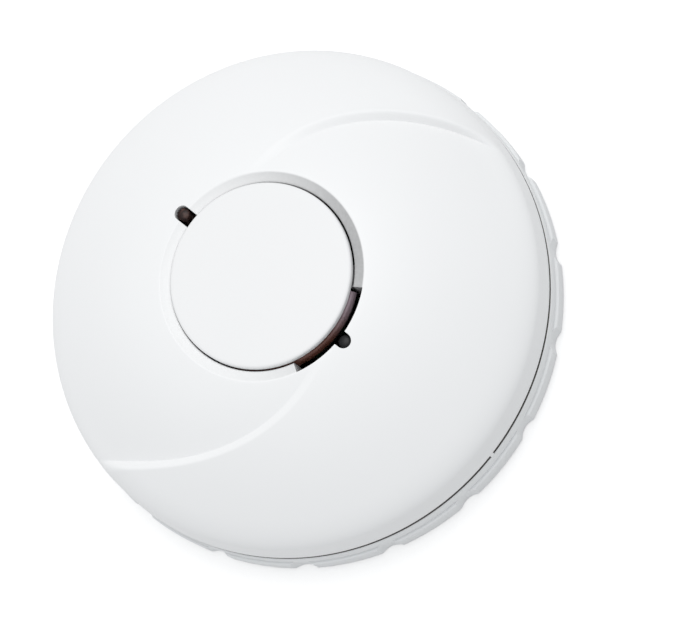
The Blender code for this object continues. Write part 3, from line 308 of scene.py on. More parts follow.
class Finish:
    """One material: its node tree, and its Principled shader."""

    def __init__(self, name, colour, roughness, metallic=0.0, **constants):
        self.material = bpy.data.materials.new(name)
        self.material.use_nodes = True
        self.tree = self.material.node_tree
        self.shader = self.tree.nodes["Principled BSDF"]
        self.shader.inputs["Base Color"].default_value = (*colour, 1.0)
        self.shader.inputs["Roughness"].default_value = roughness
        self.shader.inputs["Metallic"].default_value = metallic
        for socket, value in constants.items():
            self.shader.inputs[socket.replace("_", " ")].default_value = value
        self.material.diffuse_color = (*colour, 1.0)
        self.colour = (*colour, 1.0)
        self.where = self.node("ShaderNodeTexCoord", {}, {}).link("Object")

    def node(self, kind, settings, values):
        node = self.tree.nodes.new(kind)
        for setting, value in settings.items():
            setattr(node, setting, value)
        for socket, value in values.items():
            self.set(node.inputs[socket], value)
        return Made(self, node)

    def set(self, socket, value):
        if isinstance(value, Number):
            self.tree.links.new(value.socket, socket)
        elif isinstance(value, bpy.types.NodeSocket):
            self.tree.links.new(value, socket)
        else:
            socket.default_value = value

    def noise(self, scale, detail=2.0, where=None):
        values = {"Vector": where or self.where, "Scale": scale, "Detail": detail}
        return self.node("ShaderNodeTexNoise", {}, values).number(0)

    def axis(self, name):
        return self.node("ShaderNodeSeparateXYZ", {}, {"Vector": self.where}).number(name)

    def mix(self, factor, first, second):
        node = self.node("ShaderNodeMix", {"data_type": "RGBA"}, {"Factor": factor})
        self.set(node.node.inputs[6], first)
        self.set(node.node.inputs[7], second)
        return node.link(2)

    def bump(self, height, strength, distance):
        values = {"Height": height, "Strength": strength, "Distance": distance}
        self.set(self.shader.inputs["Normal"], self.node("ShaderNodeBump", {}, values).link("Normal"))

    def feed(self, socket, value):
        self.set(self.shader.inputs[socket], value)


def tone(colour, factor):
    return (*[min(channel * factor, 1.0) for channel in colour[:3]], 1.0)


# %% [markdown]
# ## Finishes
# The cover and button are satin white moulding: almost even in colour, with a faint cloudiness, a very fine
# grain, and a little variation in gloss. The back parts are left coarser by the mould. Inside there are
# glossy black, plated metal, solder mask and copper. Each finish has its own short function.

# %% Moulded plastics
def moulded(name, colour, roughness, grain, depth, cloud=0.012):
    """Injection moulding: cloudy by a hair, with grain of a given scale in cycles per metre."""
    skin = Finish(name, colour, roughness, Specular_IOR_Level=0.42)
    clouds = skin.noise(38.0, 3.0)
    fine = skin.noise(grain, 2.0)
    broad = skin.noise(grain * 0.22, 2.0)
    darker = tone(skin.colour, 1.0 - cloud)
    paler = tone(skin.colour, 1.0 + cloud)
    skin.feed("Base Color", skin.mix(clouds, darker, paler))
    skin.feed("Roughness", roughness - 0.04 + clouds * 0.05 + fine * 0.03)
    skin.bump(fine * 0.7 + broad * 0.3, 0.35, depth)
    return skin.material


def glossy_dark(name, colour, roughness):
    """Polished moulding with faint swirls of flow and a few dust specks."""
    skin = Finish(name, colour, roughness, Coat_Weight=0.35, Coat_Roughness=0.08)
    flow = skin.noise(110.0, 3.0)
    dust = skin.noise(2600.0, 1.0).over(0.72, 0.06)
    skin.feed("Base Color", skin.mix(dust * 0.5, skin.colour, tone(skin.colour, 3.0)))
    skin.feed("Roughness", roughness + flow * 0.08 + dust * 0.2)
    skin.bump(flow, 0.15, 0.00005)
    return skin.material


# Edge of the recessed ledge, and the direction in which its painted shade is darkest.
RING_EDGE = 0.02225
LEDGE_SHADE_TURN = math.radians(15.0)


def cover_moulding():
    """The cover's satin white, with a coarser grain and painted shade on the recessed ledge, darkest on its
    right.
    """
    skin = Finish("satin_white_moulding", (0.886, 0.888, 0.890), 0.42, Specular_IOR_Level=0.40)
    clouds = skin.noise(38.0, 3.0)
    fine = skin.noise(3800.0, 2.0)
    x = skin.axis("X")
    y = skin.axis("Y")
    radius = (x * x + y * y) ** 0.5
    inside = 1.0 - radius.over(RING_EDGE, 0.0004)
    turned = 0.5 + 0.5 * (x * math.cos(LEDGE_SHADE_TURN) + y * math.sin(LEDGE_SHADE_TURN)) / radius
    mottle = skin.noise(1500.0, 3.0)
    # Painted shade on the recessed ledge, darkest on its right, where the raised button would shade it.
    shade = inside * turned * turned * (0.42 + mottle * 0.16)
    plain = skin.mix(clouds, tone(skin.colour, 0.99), tone(skin.colour, 1.01))
    skin.feed("Base Color", skin.mix(shade, plain, (0.02, 0.02, 0.02, 1.0)))
    skin.feed("Roughness", 0.39 + clouds * 0.05 + fine * 0.03 + inside * 0.1)
    skin.bump(fine + inside * mottle * 2.0, 0.35, 0.00002)
    return skin.material


white = cover_moulding()
button_white = moulded("button_moulding", (0.850, 0.850, 0.852), 0.50, 4200.0, 0.00004)
back = moulded("textured_back_moulding", (0.86, 0.868, 0.872), 0.55, 2200.0, 0.00006, 0.02)
# Near black, for the strip of painted shade in the seam.
seam_shade = moulded("seam_painted_shade", (0.020, 0.015, 0.012), 0.75, 2600.0, 0.00004, 0.08)
black = moulded("satin_black_moulding", (0.028, 0.028, 0.030), 0.45, 2600.0, 0.00004, 0.08)
dark = glossy_dark("chamber_moulding", (0.018, 0.011, 0.010), 0.20)


def guard_moulding():
    """Polished brown moulding, with a painted violet highlight on its right-hand side and painted shade, near
    black, lower down.
    """
    skin = Finish("guard_moulding", (0.22, 0.085, 0.06), 0.28, 0.25, Coat_Weight=0.3, Coat_Roughness=0.15)
    # Painted highlight: violet on the right-hand side.
    painted_highlight = skin.axis("Y").over(-0.0095, 0.009)
    flow = skin.noise(180.0, 3.0)
    # Painted shade: near black below a height, where the rail's outer flank lies in shade.
    deep = 1.0 - skin.axis("Z").over((cap_high.z - 1.75) * MM, 0.0007)
    lit = skin.mix(painted_highlight, skin.colour, (0.64, 0.50, 0.56, 1.0))
    skin.feed("Base Color", skin.mix(deep, lit, (0.010, 0.007, 0.007, 1.0)))
    skin.feed("Roughness", 0.22 + flow * 0.12)
    skin.bump(flow, 0.12, 0.00004)
    return skin.material


guard_brown = guard_moulding()
print("plastics made")


# %% Metals, lenses and insulation
def plated(name, colour, roughness, streak):
    """Plated or rolled metal with fine streaks along one direction."""
    metal = Finish(name, colour, roughness, 1.0)
    values = {"Vector": metal.where, "Scale": (streak, streak, streak * 9.0)}
    stretched = metal.node("ShaderNodeMapping", {}, values).link()
    streaks = metal.noise(1.0, 3.0, stretched)
    tarnish = metal.noise(160.0, 3.0).over(0.62, 0.3)
    metal.feed("Base Color", metal.mix(tarnish * 0.35, metal.colour, tone(metal.colour, 0.72)))
    metal.feed("Roughness", roughness + streaks * 0.16 + tarnish * 0.1)
    metal.bump(streaks, 0.25, 0.00002)
    return metal.material


def tinted(name, colour, lit):
    """Tinted resin, so deep that it reads as dark, with a cloud of the warmer tone that it shows when lit."""
    resin = Finish(name, colour, 0.34, Specular_IOR_Level=0.22)
    haze = resin.noise(900.0, 3.0)
    resin.feed("Base Color", resin.mix(haze.over(0.55, 0.25) * 0.7, resin.colour, (*lit, 1.0)))
    resin.feed("Roughness", 0.3 + haze * 0.15)
    return resin.material


def insulated(name, colour):
    """Extruded lead insulation: even, waxy, with faint rings from the die."""
    skin = Finish(name, colour, 0.42)
    values = {"Vector": skin.where, "Scale": 300.0, "Distortion": 1.5}
    rings = skin.node("ShaderNodeTexWave", {}, values).number(0)
    scuff = skin.noise(500.0, 2.0)
    skin.feed("Base Color", skin.mix(scuff * 0.4, skin.colour, tone(skin.colour, 1.35)))
    skin.feed("Roughness", 0.36 + scuff * 0.16)
    skin.bump(rings, 0.1, 0.00002)
    return skin.material


def cell_sleeve():
    """Shrink sleeve over the cell: deep blue-grey, with a bare metal shoulder and one plain pale band."""
    sleeve = Finish("cell_shrink_sleeve", (0.10, 0.14, 0.22), 0.30, Coat_Weight=0.3, Coat_Roughness=0.12)
    along = sleeve.axis("X")
    band = along.over(0.0095, 0.0004) - along.over(0.0125, 0.0004)
    crease = sleeve.noise(260.0, 4.0)
    sleeve.feed("Base Color", sleeve.mix(band, sleeve.colour, (0.72, 0.74, 0.76, 1.0)))
    sleeve.feed("Roughness", 0.24 + crease * 0.14)
    sleeve.bump(crease, 0.12, 0.00006)
    return sleeve.material


def solder_mask():
    """Green mask over copper: tracks show as slightly raised, paler lines on a fine cellular layout."""
    mask = Finish("green_solder_mask", (0.018, 0.125, 0.055), 0.33, Coat_Weight=0.4, Coat_Roughness=0.1)
    cells = {"Vector": mask.where, "Scale": 170.0, "Randomness": 0.35}
    settings = {"feature": "DISTANCE_TO_EDGE", "voronoi_dimensions": "2D"}
    edges = mask.node("ShaderNodeTexVoronoi", settings, cells).number("Distance")
    tracks = 1.0 - edges.over(0.10, 0.03)
    weave = mask.noise(2400.0, 2.0)
    mask.feed("Base Color", mask.mix(tracks, tone(mask.colour, 0.85), (0.05, 0.26, 0.10, 1.0)))
    mask.feed("Roughness", 0.28 + weave * 0.1)
    mask.bump(tracks + weave * 0.1, 0.4, 0.00003)
    return mask.material


steel = plated("plated_steel", (0.62, 0.62, 0.63), 0.22, 420.0)
brass = plated("rolled_brass", (0.72, 0.52, 0.24), 0.26, 300.0)
copper = plated("enamelled_copper", (0.58, 0.23, 0.09), 0.24, 900.0)
lens = tinted("smoky_lens", (0.022, 0.012, 0.011), (0.11, 0.06, 0.05))
grey_lens = tinted("grey_lens", (0.010, 0.010, 0.011), (0.022, 0.020, 0.022))
cell = cell_sleeve()
red_lead = insulated("red_insulation", (0.50, 0.02, 0.015))
black_lead = insulated("black_insulation", (0.02, 0.02, 0.02))
board_green = solder_mask()
print("finishes:", len(bpy.data.materials))


# %% [markdown]
# ## The cover's surface
# The dome falls away from the ring in a gentle curve. Over it lies the swirl: each half turn rises a
# little, then drops in one soft step, and the step's line winds back as it runs out, so it reads as two
# sweeping arcs. A grid that is twisted with the line keeps the step between neighbouring columns, and
# columns crowd round it.

# %% Dome and swirl
SIDE_TOP_RADIUS = COVER_RADIUS - 0.75
SIDE_TOP_Z = 15.9
SHOULDER_IN = 3.6
SHOULDER_UP = 4.0
SHOULDER_START = 49.4
SHOULDER_END_Z = 14.6
RING_RADIUS = 22.4
RING_Z = 34.65
DOME_START_SLOPE = 0.25
LEDGE_DROP = 0.45
HOLE_RADIUS = 20.1
SLEEVE_Z = 25.0
SWIRL_STEPS = (3.3, 2.4)
SWIRL_LINES = ((97.0, 1.97, 0.0), (-53.7, 4.19, 0.0114))
STEP_WIDTH = 3.7
DOME_RADIUS = SIDE_TOP_RADIUS - SHOULDER_IN
DOME_Z = SIDE_TOP_Z + SHOULDER_UP
DOME_SPAN = DOME_RADIUS - RING_RADIUS
FADE_RADIUS = DOME_RADIUS - 1.5
DOME_CURVE = (RING_Z - DOME_Z - DOME_START_SLOPE * DOME_SPAN) / DOME_SPAN ** 2


def smooth(t):
    t = min(max(t, 0.0), 1.0)
    return t * t * (3.0 - 2.0 * t)


def dome_z(radius):
    out = radius - RING_RADIUS
    return RING_Z - DOME_START_SLOPE * out - DOME_CURVE * out * out


def swirl_angle(line, radius):
    """Angle of a swirl line, which turns back as it runs out, and may turn less the further out it is."""
    at_ledge, turned_back, easing = SWIRL_LINES[line]
    out = min(max(radius, RING_RADIUS), SIDE_TOP_RADIUS) - RING_RADIUS
    return at_ledge - turned_back * out * (1.0 - easing * out)


def swirl_strength(radius):
    """Grows from the ledge to the rim, then fades down the shoulder."""
    out = (min(max(radius, RING_RADIUS), DOME_RADIUS) - RING_RADIUS) / DOME_SPAN
    faded = (radius - FADE_RADIUS) / (COVER_RADIUS - 0.3 - FADE_RADIUS)
    return out ** 0.85 * (1.0 - min(max(faded, 0.0), 1.0) ** 2)


def swirl_lift(line, radius, share, arc_length):
    """Rise beside the plain dome, at a share of the way from one line to the next.
    A line's step reaches half above the dome and half below it, and dies away on both sides."""
    side = 1.0 if share < 0.5 else -1.0
    reach_up = swirl_strength(radius) * SWIRL_STEPS[line if share < 0.5 else 1 - line] / 2
    beside = min(share, 1.0 - share) * arc_length
    if beside > STEP_WIDTH / 2:
        return reach_up * side * abs(1.0 - 2.0 * share) ** 3
    across = 0.5 + side * beside / STEP_WIDTH
    climb = 0.6 * (1.0 - (1.0 - across) ** 2) + 0.4 * smooth(across)
    return reach_up * (1.0 - STEP_WIDTH / arc_length) ** 3 * (2.0 * climb - 1.0)


def swirl_shares():
    """Places of the grid's columns between two lines, close together beside each."""
    near = 0.038
    start = [near * step / 26 for step in range(26)]
    middle = [near + (1.0 - 2.0 * near) * step / 96 for step in range(97)]
    return start + middle + [1.0 - share for share in reversed(start[1:])]


print("columns between two lines:", len(swirl_shares()))


# %% [markdown]
# ## The cover
# One closed outline is carried round the grid: the seam's lip, the drafted side wall, the shoulder, the
# dome, the ledge, the button's guide sleeve and the inside wall. Then the open stretch of the ledge and the
# two light notches are cut through it.

# %% Front cover
def cover_outline():
    """Points as (radius, z, swirls)."""
    low = SEAM_Z + GAP / 2
    lip = [(COVER_RADIUS - 0.35, low), (COVER_RADIUS - 0.08, low + 0.10), (COVER_RADIUS, low + 0.35)]
    draft = 0.75 / (SIDE_TOP_Z - low - 0.35)
    side = [(COVER_RADIUS - draft * rise, low + 0.35 + rise) for rise in (0.8, 1.6, 2.4, 3.2, 4.0, 4.6)]
    slope = DOME_START_SLOPE + 2.0 * DOME_CURVE * (SHOULDER_START - RING_RADIUS)
    corner = (SIDE_TOP_RADIUS, dome_z(SHOULDER_START) - slope * (SIDE_TOP_RADIUS - SHOULDER_START))
    side_end = (COVER_RADIUS - draft * (SHOULDER_END_Z - low - 0.35), SHOULDER_END_Z)
    shoulder = curve_between(side_end, corner, (SHOULDER_START, dome_z(SHOULDER_START)), 24)
    span = SHOULDER_START - RING_RADIUS - 0.25
    dome = [SHOULDER_START - span * step / 40 for step in range(1, 41)]
    ledge_z = RING_Z - LEDGE_DROP
    ring_start = (RING_RADIUS + 0.25, dome_z(RING_RADIUS + 0.25))
    ring = curve_between(ring_start, (RING_RADIUS, RING_Z), (RING_RADIUS - 0.2, RING_Z - 0.16), 4)[1:]
    lip_start = (HOLE_RADIUS + 0.5, ledge_z + 0.04)
    lip_in = curve_between(lip_start, (HOLE_RADIUS, ledge_z), (HOLE_RADIUS, ledge_z - 0.5), 6)
    outside = lip + side + shoulder + [(r, dome_z(r)) for r in dome] + ring + lip_in
    sleeve = RING_RADIUS - 0.4
    inside = [(HOLE_RADIUS, SLEEVE_Z + 0.3), (HOLE_RADIUS + 0.25, SLEEVE_Z), (sleeve - 0.25, SLEEVE_Z)]
    inside += [(sleeve, SLEEVE_Z + 0.3), (sleeve, dome_z(RING_RADIUS) - WALL)]
    inside += [(r, dome_z(r) - WALL) for r in reversed(dome[:-1:4])]
    inside += [(DOME_RADIUS - WALL / 2, DOME_Z - WALL), (SIDE_TOP_RADIUS - WALL, SIDE_TOP_Z - 0.5)]
    inside.append((COVER_RADIUS - WALL, low))
    return [(r, z, True) for r, z in outside] + [(r, z, False) for r, z in inside]


NOTCH_ANGLES = (142.0, -38.0)
NOTCH_WIDTH = 3.3
NOTCH_CENTRE = 23.2
SLOT_ANGLES = (-67.5, -8.5)
KEY_HALF_ANGLE = 0.5
KEY_DROP = 0.7
COVER_SCREWS = ((46.0, 30.0), (46.0, 150.0), (46.0, 270.0))
BOARD_SCREWS = ((44.0, 0.0), (44.0, 180.0), (44.0, 235.0))


def cover_cuts():
    slot = bmesh.new()
    turn(slot, [
        (HOLE_RADIUS - 1.0, SLEEVE_Z - 1.0), (RING_RADIUS, SLEEVE_Z - 1.0),
        (RING_RADIUS, RING_Z + 1.0), (HOLE_RADIUS - 1.0, RING_Z + 1.0),
    ], *SLOT_ANGLES, steps=60)
    yield slot
    for angle in NOTCH_ANGLES:
        notch = bmesh.new()
        outline = arc(polar(NOTCH_CENTRE, angle), NOTCH_WIDTH / 2, angle + 90.0, angle - 90.0, 24)
        near = Vector(polar(HOLE_RADIUS - 1.2, angle))
        side = Vector(polar(NOTCH_WIDTH / 2, angle + 90.0))
        upright(notch, outline + [tuple(near - side), tuple(near + side)], SLEEVE_Z - 1.5, RING_Z + 1.5)
        yield notch


def make_cover():
    bm = bmesh.new()
    outline = cover_outline()
    sections = []
    for line in (0, 1):
        for share in swirl_shares():
            section = []
            for radius, z, swirls in outline:
                first = swirl_angle(line, radius)
                span = (swirl_angle(1 - line, radius) - first) % 360.0
                x, y = polar(radius, first + span * share)
                lift = swirl_lift(line, radius, share, math.radians(span) * radius) if swirls else 0.0
                section.append((x, y, z + lift))
            sections.append(section)
    bridge(bm, sections, True)
    cover = mesh_object("moulded_cover", bm)
    bosses = bmesh.new()
    for radius, angle in COVER_SCREWS:
        ring = arc(polar(radius, angle), 3.0, 0.0, 351.0, 39)
        low = [(x, y, FLOOR_TOP_Z + GAP) for x, y in ring]
        bridge(bosses, [low, [(x, y, dome_z(math.hypot(x, y)) - 0.9 * WALL) for x, y in ring]], False)
    combine(cover, bosses, "UNION")
    key = bmesh.new()
    turn(key, [
        (COVER_RADIUS - WALL / 2, SEAM_Z - KEY_DROP), (COVER_RADIUS + 0.1, SEAM_Z - KEY_DROP),
        (COVER_RADIUS + 0.1, SEAM_Z + 0.4), (COVER_RADIUS - WALL / 2, SEAM_Z + 1.0),
    ], NOTCH_ANGLES[1] - KEY_HALF_ANGLE, NOTCH_ANGLES[1] + KEY_HALF_ANGLE, 6)
    combine(cover, key, "UNION")
    for shape in cover_cuts():
        combine(cover, shape, "DIFFERENCE")
    pilots = bmesh.new()
    for radius, angle in COVER_SCREWS:
        cylinder(pilots, polar(radius, angle), 1.5, FLOOR_Z, 16.0, 32)
    combine(cover, pilots, "DIFFERENCE")
    place(cover, "alarm", "white_plastic", white, "front_cover", sharp=28.0)


make_cover()


# %% [markdown]
# ## The test button
# A thin, slightly crowned disc. Three arms below it slide in the cover's sleeve and hook under its edge,
# and one of them reaches down to the switch. The arms repeat, so one section is swept through a few degrees
# at each place.

# %% Test button
def make_button():
    radius = 19.8
    under = BUTTON_TOP_Z - 2.0
    crown = 0.25
    top = BUTTON_TOP_Z - crown
    edge = curve_between((radius, top - 0.6), (radius, top), (radius - 0.7, top + 0.01), 6)
    crown_points = []
    for step in range(1, 13):
        share = 1.0 - step / 12
        crown_points.append(((radius - 0.7) * share, BUTTON_TOP_Z - crown * share * share * 0.96))
    bm = bmesh.new()
    turn(bm, [(0.0, under), (radius - 0.3, under), (radius, under + 0.3)] + edge + crown_points, steps=200)
    button = mesh_object("round_button", bm)
    outer = HOLE_RADIUS - 0.45
    inner = outer - 1.4
    switch_reach = 24.5
    tuck = radius - 0.9
    hook = SLEEVE_Z - GAP
    base = hook - 1.6
    arms = bmesh.new()
    for angle in (0.0, 120.0, 240.0):
        foot = button_low.z if angle == 240.0 else base
        outline = [
            (inner, under + 0.6), (tuck, under + 0.6), (tuck, under - 1.8), (outer, under - 3.4),
            (outer, hook), (outer + 1.4, hook), (outer + 0.3, base),
        ]
        if angle == 240.0:
            outline += [(outer + 0.3, foot + 1.6), (switch_reach, foot + 1.6), (switch_reach, foot)]
        outline.append((inner, foot))
        turn(arms, outline, angle - 7.0, angle + 7.0, 10)
    combine(button, arms, "UNION")
    spigot = bmesh.new()
    cylinder(spigot, (0.0, 0.0), 2.9, under - 2.0, under + 0.5, 40)
    combine(button, spigot, "UNION")
    place(button, "button", "white_plastic", button_white, "test_button", sharp=35.0)


make_button()


# %% [markdown]
# ## The smoke chamber
# The chamber's glossy cap shows through the open stretch of the ledge as a dark cylinder, so it is turned
# finely. Below it is the insect screen: a ring of thin wires, which Geometry Nodes repeat round the
# chamber.

# %% Chamber cap
def make_chamber_cap():
    radius = CAP_RADIUS
    top = cap_high.z
    low = 27.5
    well = 4.6
    wall = 1.2
    floor = top - 5.7
    bm = bmesh.new()
    outline = [
        (radius, low), (radius, top), (well, top), (well, floor), (0.0, floor), (0.0, floor - wall),
        (well + wall, floor - wall), (well + wall, top - wall * 1.5), (radius - wall, top - wall * 1.5),
        (radius - wall, low),
    ]
    turn(bm, rounded(outline, 0.5), steps=160)
    cap = mesh_object("chamber_top", bm)
    vanes = bmesh.new()
    vane_circle = 15.2
    vane_size = (4.2, 0.9)
    for count in range(12):
        angle = 30.0 * (count + 0.5)
        block(vanes, polar(vane_circle, angle), vane_size, cap_low.z, top - wall, angle + 38.0)
    combine(cap, vanes, "UNION")
    place(cap, "alarm", "chamber_plastic", guard_brown, "chamber_cap", sharp=35.0)


def make_guard():
    """The rounded rail on the cap's edge, behind the open stretch of the ledge and the gap beside it."""
    bm = bmesh.new()
    rail = arc((CAP_RADIUS + 0.35, cap_high.z - 1.8), 1.3, 0.0, 350.0, 35)
    turn(bm, rail, SLOT_ANGLES[0] - 42.0, SLOT_ANGLES[1] - 1.5, 100)
    place(mesh_object("guard_rail", bm), "alarm", "chamber_plastic", guard_brown)


make_chamber_cap()
make_guard()


# %% Insect screen in Geometry Nodes
def set_input(modifier, tree, name, value):
    """Sets a named input by its socket's identifier."""
    for item in tree.interface.items_tree:
        if item.item_type == "SOCKET" and item.in_out == "INPUT" and item.name == name:
            modifier[item.identifier] = value
            return
    raise KeyError(name)


def new_tree(name, inputs):
    """A Geometry Nodes tree with named number inputs, and its group's two end nodes."""
    tree = bpy.data.node_groups.new(name, "GeometryNodeTree")
    tree.interface.new_socket("Geometry", in_out="INPUT", socket_type="NodeSocketGeometry")
    for label, kind, value in inputs:
        socket = tree.interface.new_socket(label, in_out="INPUT", socket_type=kind)
        socket.default_value = value
    tree.interface.new_socket("Geometry", in_out="OUTPUT", socket_type="NodeSocketGeometry")
    start = tree.nodes.new("NodeGroupInput")
    end = tree.nodes.new("NodeGroupOutput")
    return tree, start, end


def grow(tree, kind, values, **settings):
    """One node of a Geometry Nodes tree. A value is a number, a socket, or a node for its first output."""
    node = tree.nodes.new(kind)
    for setting, value in settings.items():
        setattr(node, setting, value)
    for socket, value in values.items():
        if isinstance(value, bpy.types.Node):
            value = value.outputs[0]
        if isinstance(value, bpy.types.NodeSocket):
            tree.links.new(value, node.inputs[socket])
        else:
            node.inputs[socket].default_value = value
    return node


def close_tree(tree, end, geometry, material):
    """Every tree ends by making its copies real and giving them their finish."""
    real = grow(tree, "GeometryNodeRealizeInstances", {"Geometry": geometry})
    finish = grow(tree, "GeometryNodeSetMaterial", {"Geometry": real, "Material": material})
    tree.links.new(finish.outputs[0], end.inputs[0])


def grown(name, tree, values):
    """The tree's result as a plain mesh object."""
    holder = bpy.data.objects.new(name, bpy.data.meshes.new(name))
    bpy.context.collection.objects.link(holder)
    modifier = holder.modifiers.new("grow", "NODES")
    modifier.node_group = tree
    for label, value in values.items():
        set_input(modifier, tree, label, value)
    graph = bpy.context.evaluated_depsgraph_get()
    mesh = bpy.data.meshes.new_from_object(holder.evaluated_get(graph))
    holder.modifiers.clear()
    holder.data = mesh
    return holder


def wire_hoop(tree, radius, wire, steps, sides):
    """One closed hoop of round wire."""
    ring = grow(tree, "GeometryNodeCurvePrimitiveCircle", {"Resolution": steps, "Radius": radius})
    profile = grow(tree, "GeometryNodeCurvePrimitiveCircle", {"Resolution": sides, "Radius": wire})
    return grow(tree, "GeometryNodeCurveToMesh", {"Curve": ring, "Profile Curve": profile})


def screen_tree():
    """Upright wires round a circle, and level hoops up it: each a thin profile, copied by count."""
    number, length = "NodeSocketInt", "NodeSocketFloat"
    tree, start, end = new_tree("screen_wires", [
        ("Wires", number, 120), ("Hoops", number, 14), ("Radius", length, 0.018), ("Low", length, 0.0137),
        ("High", length, 0.027), ("Wire", length, 0.0001),
    ])
    given = start.outputs
    circle = grow(tree, "GeometryNodeMeshCircle", {"Vertices": given["Wires"], "Radius": given["Radius"]})
    height = grow(tree, "ShaderNodeMath", {0: given["High"], 1: given["Low"]}, operation="SUBTRACT")
    wire = grow(tree, "GeometryNodeMeshCylinder", {"Vertices": 5, "Radius": given["Wire"], "Depth": height})
    uprights = grow(tree, "GeometryNodeInstanceOnPoints", {"Points": circle, "Instance": wire})
    middle = grow(tree, "ShaderNodeMath", {0: given["High"], 1: given["Low"]}, operation="ADD")
    half = grow(tree, "ShaderNodeMath", {0: middle, 1: 0.5}, operation="MULTIPLY")
    lift = grow(tree, "ShaderNodeCombineXYZ", {"Z": half})
    raised = grow(tree, "GeometryNodeTransform", {"Geometry": uprights, "Translation": lift})
    spacing = grow(tree, "ShaderNodeMath", {0: height, 1: given["Hoops"]}, operation="DIVIDE")
    low = grow(tree, "ShaderNodeCombineXYZ", {"Z": given["Low"]})
    step = grow(tree, "ShaderNodeCombineXYZ", {"Z": spacing})
    places = {"Count": given["Hoops"], "Start Location": low, "Offset": step}
    line = grow(tree, "GeometryNodeMeshLine", places)
    hoop = wire_hoop(tree, given["Radius"], given["Wire"], 120, 5)
    hoops = grow(tree, "GeometryNodeInstanceOnPoints", {"Points": line, "Instance": hoop})
    both = tree.nodes.new("GeometryNodeJoinGeometry")
    tree.links.new(raised.outputs[0], both.inputs[0])
    tree.links.new(hoops.outputs[0], both.inputs[0])
    close_tree(tree, end, both, dark)
    return tree


def make_screen():
    mesh_radius = screen_high.x - 0.25
    wires = grown("screen_mesh", screen_tree(), {
        "Radius": mesh_radius * MM, "Low": (screen_low.z + 0.2) * MM, "High": (screen_high.z - 0.2) * MM,
    })
    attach(wires, "alarm")
    wires.data.shade_smooth()
    frame_bm = bmesh.new()
    outer, inner = screen_high.x, screen_high.x - 0.5
    for low, high in ((screen_low.z, screen_low.z + 1.0), (screen_high.z - 1.0, screen_high.z)):
        turn(frame_bm, [(inner, low), (outer, low), (outer, high), (inner, high)], steps=140)
    for count in range(16):
        middle = (count + 0.5) * 22.5
        turn(frame_bm, [
            (inner, screen_low.z + 0.9), (outer, screen_low.z + 0.9),
            (outer, screen_high.z - 0.9), (inner, screen_high.z - 0.9),
        ], middle - 2.2, middle + 2.2, 4)
    ring = mesh_object("screen_frame", frame_bm)
    place(ring, "alarm", "chamber_plastic", dark, "insect_screen")
    print("screen wires:", len(wires.data.polygons), "faces")


make_screen()


# %% [markdown]
# The horn's coil is made the same way: the frame has a plain ring, and the tree stacks hoops of fine wire
# in its place. Only the count, the pitch and two radii are needed, so no turn is drawn by hand.

# %% Coil in Geometry Nodes
def coil_tree():
    """A coil's turns: one thin hoop for each, stacked up the bobbin."""
    number, length = "NodeSocketInt", "NodeSocketFloat"
    tree, start, end = new_tree("coil_turns", [
        ("Turns", number, 20), ("Radius", length, 0.003), ("Wire", length, 0.0001), ("Low", length, 0.009),
        ("Pitch", length, 0.0002), ("Across", length, 0.0), ("Back", length, 0.0),
    ])
    given = start.outputs
    hoop = wire_hoop(tree, given["Radius"], given["Wire"], 40, 6)
    first = grow(tree, "ShaderNodeCombineXYZ", {"X": given["Across"], "Y": given["Back"], "Z": given["Low"]})
    step = grow(tree, "ShaderNodeCombineXYZ", {"Z": given["Pitch"]})
    places = {"Count": given["Turns"], "Start Location": first, "Offset": step}
    line = grow(tree, "GeometryNodeMeshLine", places)
    turns = grow(tree, "GeometryNodeInstanceOnPoints", {"Points": line, "Instance": hoop})
    close_tree(tree, end, turns, copper)
    return tree


def make_coil():
    """The choke's winding, as wide and as tall as the frame's plain ring."""
    low, high = reach("horn_coil_winding")
    wire = 0.11
    turns = int((high.z - low.z) / (2.05 * wire))
    coil = grown("coil_turns", coil_tree(), {
        "Turns": turns, "Radius": ((high.x - low.x) / 2 - wire) * MM, "Wire": wire * MM,
        "Low": (low.z + wire) * MM, "Pitch": (high.z - low.z - 2 * wire) / (turns - 1) * MM,
        "Across": (low.x + high.x) / 2 * MM, "Back": (low.y + high.y) / 2 * MM,
    })
    coil.data.shade_smooth()
    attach(coil, "alarm")
    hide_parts("horn_coil_winding")
    print("coil:", turns, "turns,", len(coil.data.polygons), "faces")


make_coil()


# %% [markdown]
# ## Indicators
# A light pipe stands in each notch. Seen from outside it is only a small glossy dome: dark and faintly warm
# on one side, plain grey on the other. The lamps that feed the pipes stand on the board below them.

# %% Light pipes and lamps
def domed_end(radius, top, height):
    """Outline of a domed end, from its side to its top."""
    points = []
    for step in range(10):
        across, up = polar(1.0, 10.0 * step)
        points.append((radius * across, top - height * (1.0 - up)))
    return points


def make_indicator(name, node_start, material):
    low, high = reach(node_start + "_light_pipe")
    centre = ((low.x + high.x) / 2, (low.y + high.y) / 2)
    radius = (high.x - low.x) / 2
    bm = bmesh.new()
    tip = domed_end(radius, high.z, 0.3 * radius)
    turn(bm, [(0.0, low.z), (radius, low.z)] + tip, steps=48, centre=centre)
    pipe = mesh_object(name + "_pipe", bm)
    place(pipe, "alarm", "tinted_lens", material, node_start + "_light_pipe")
    low, high = reach(node_start + "_led")
    radius = 1.5
    bm = bmesh.new()
    flange = (high.x - low.x) / 2
    foot = [(0.0, low.z), (flange, low.z), (flange, low.z + 0.8), (radius, low.z + 0.8)]
    turn(bm, foot + domed_end(radius, high.z, radius), steps=40, centre=centre)
    lamp = mesh_object(name + "_lamp", bm)
    place(lamp, "alarm", "tinted_lens", material, node_start + "_led")


make_indicator("status", "status", lens)
make_indicator("warning", "alarm", grey_lens)


# %% [markdown]
# ## The back housing
# The pale band under the seam is its outer wall. On the back there are three bayonet lugs, the recesses for
# the cover's screws and the hatch's opening. It is turned as one section, then added to and cut like the
# real tool.

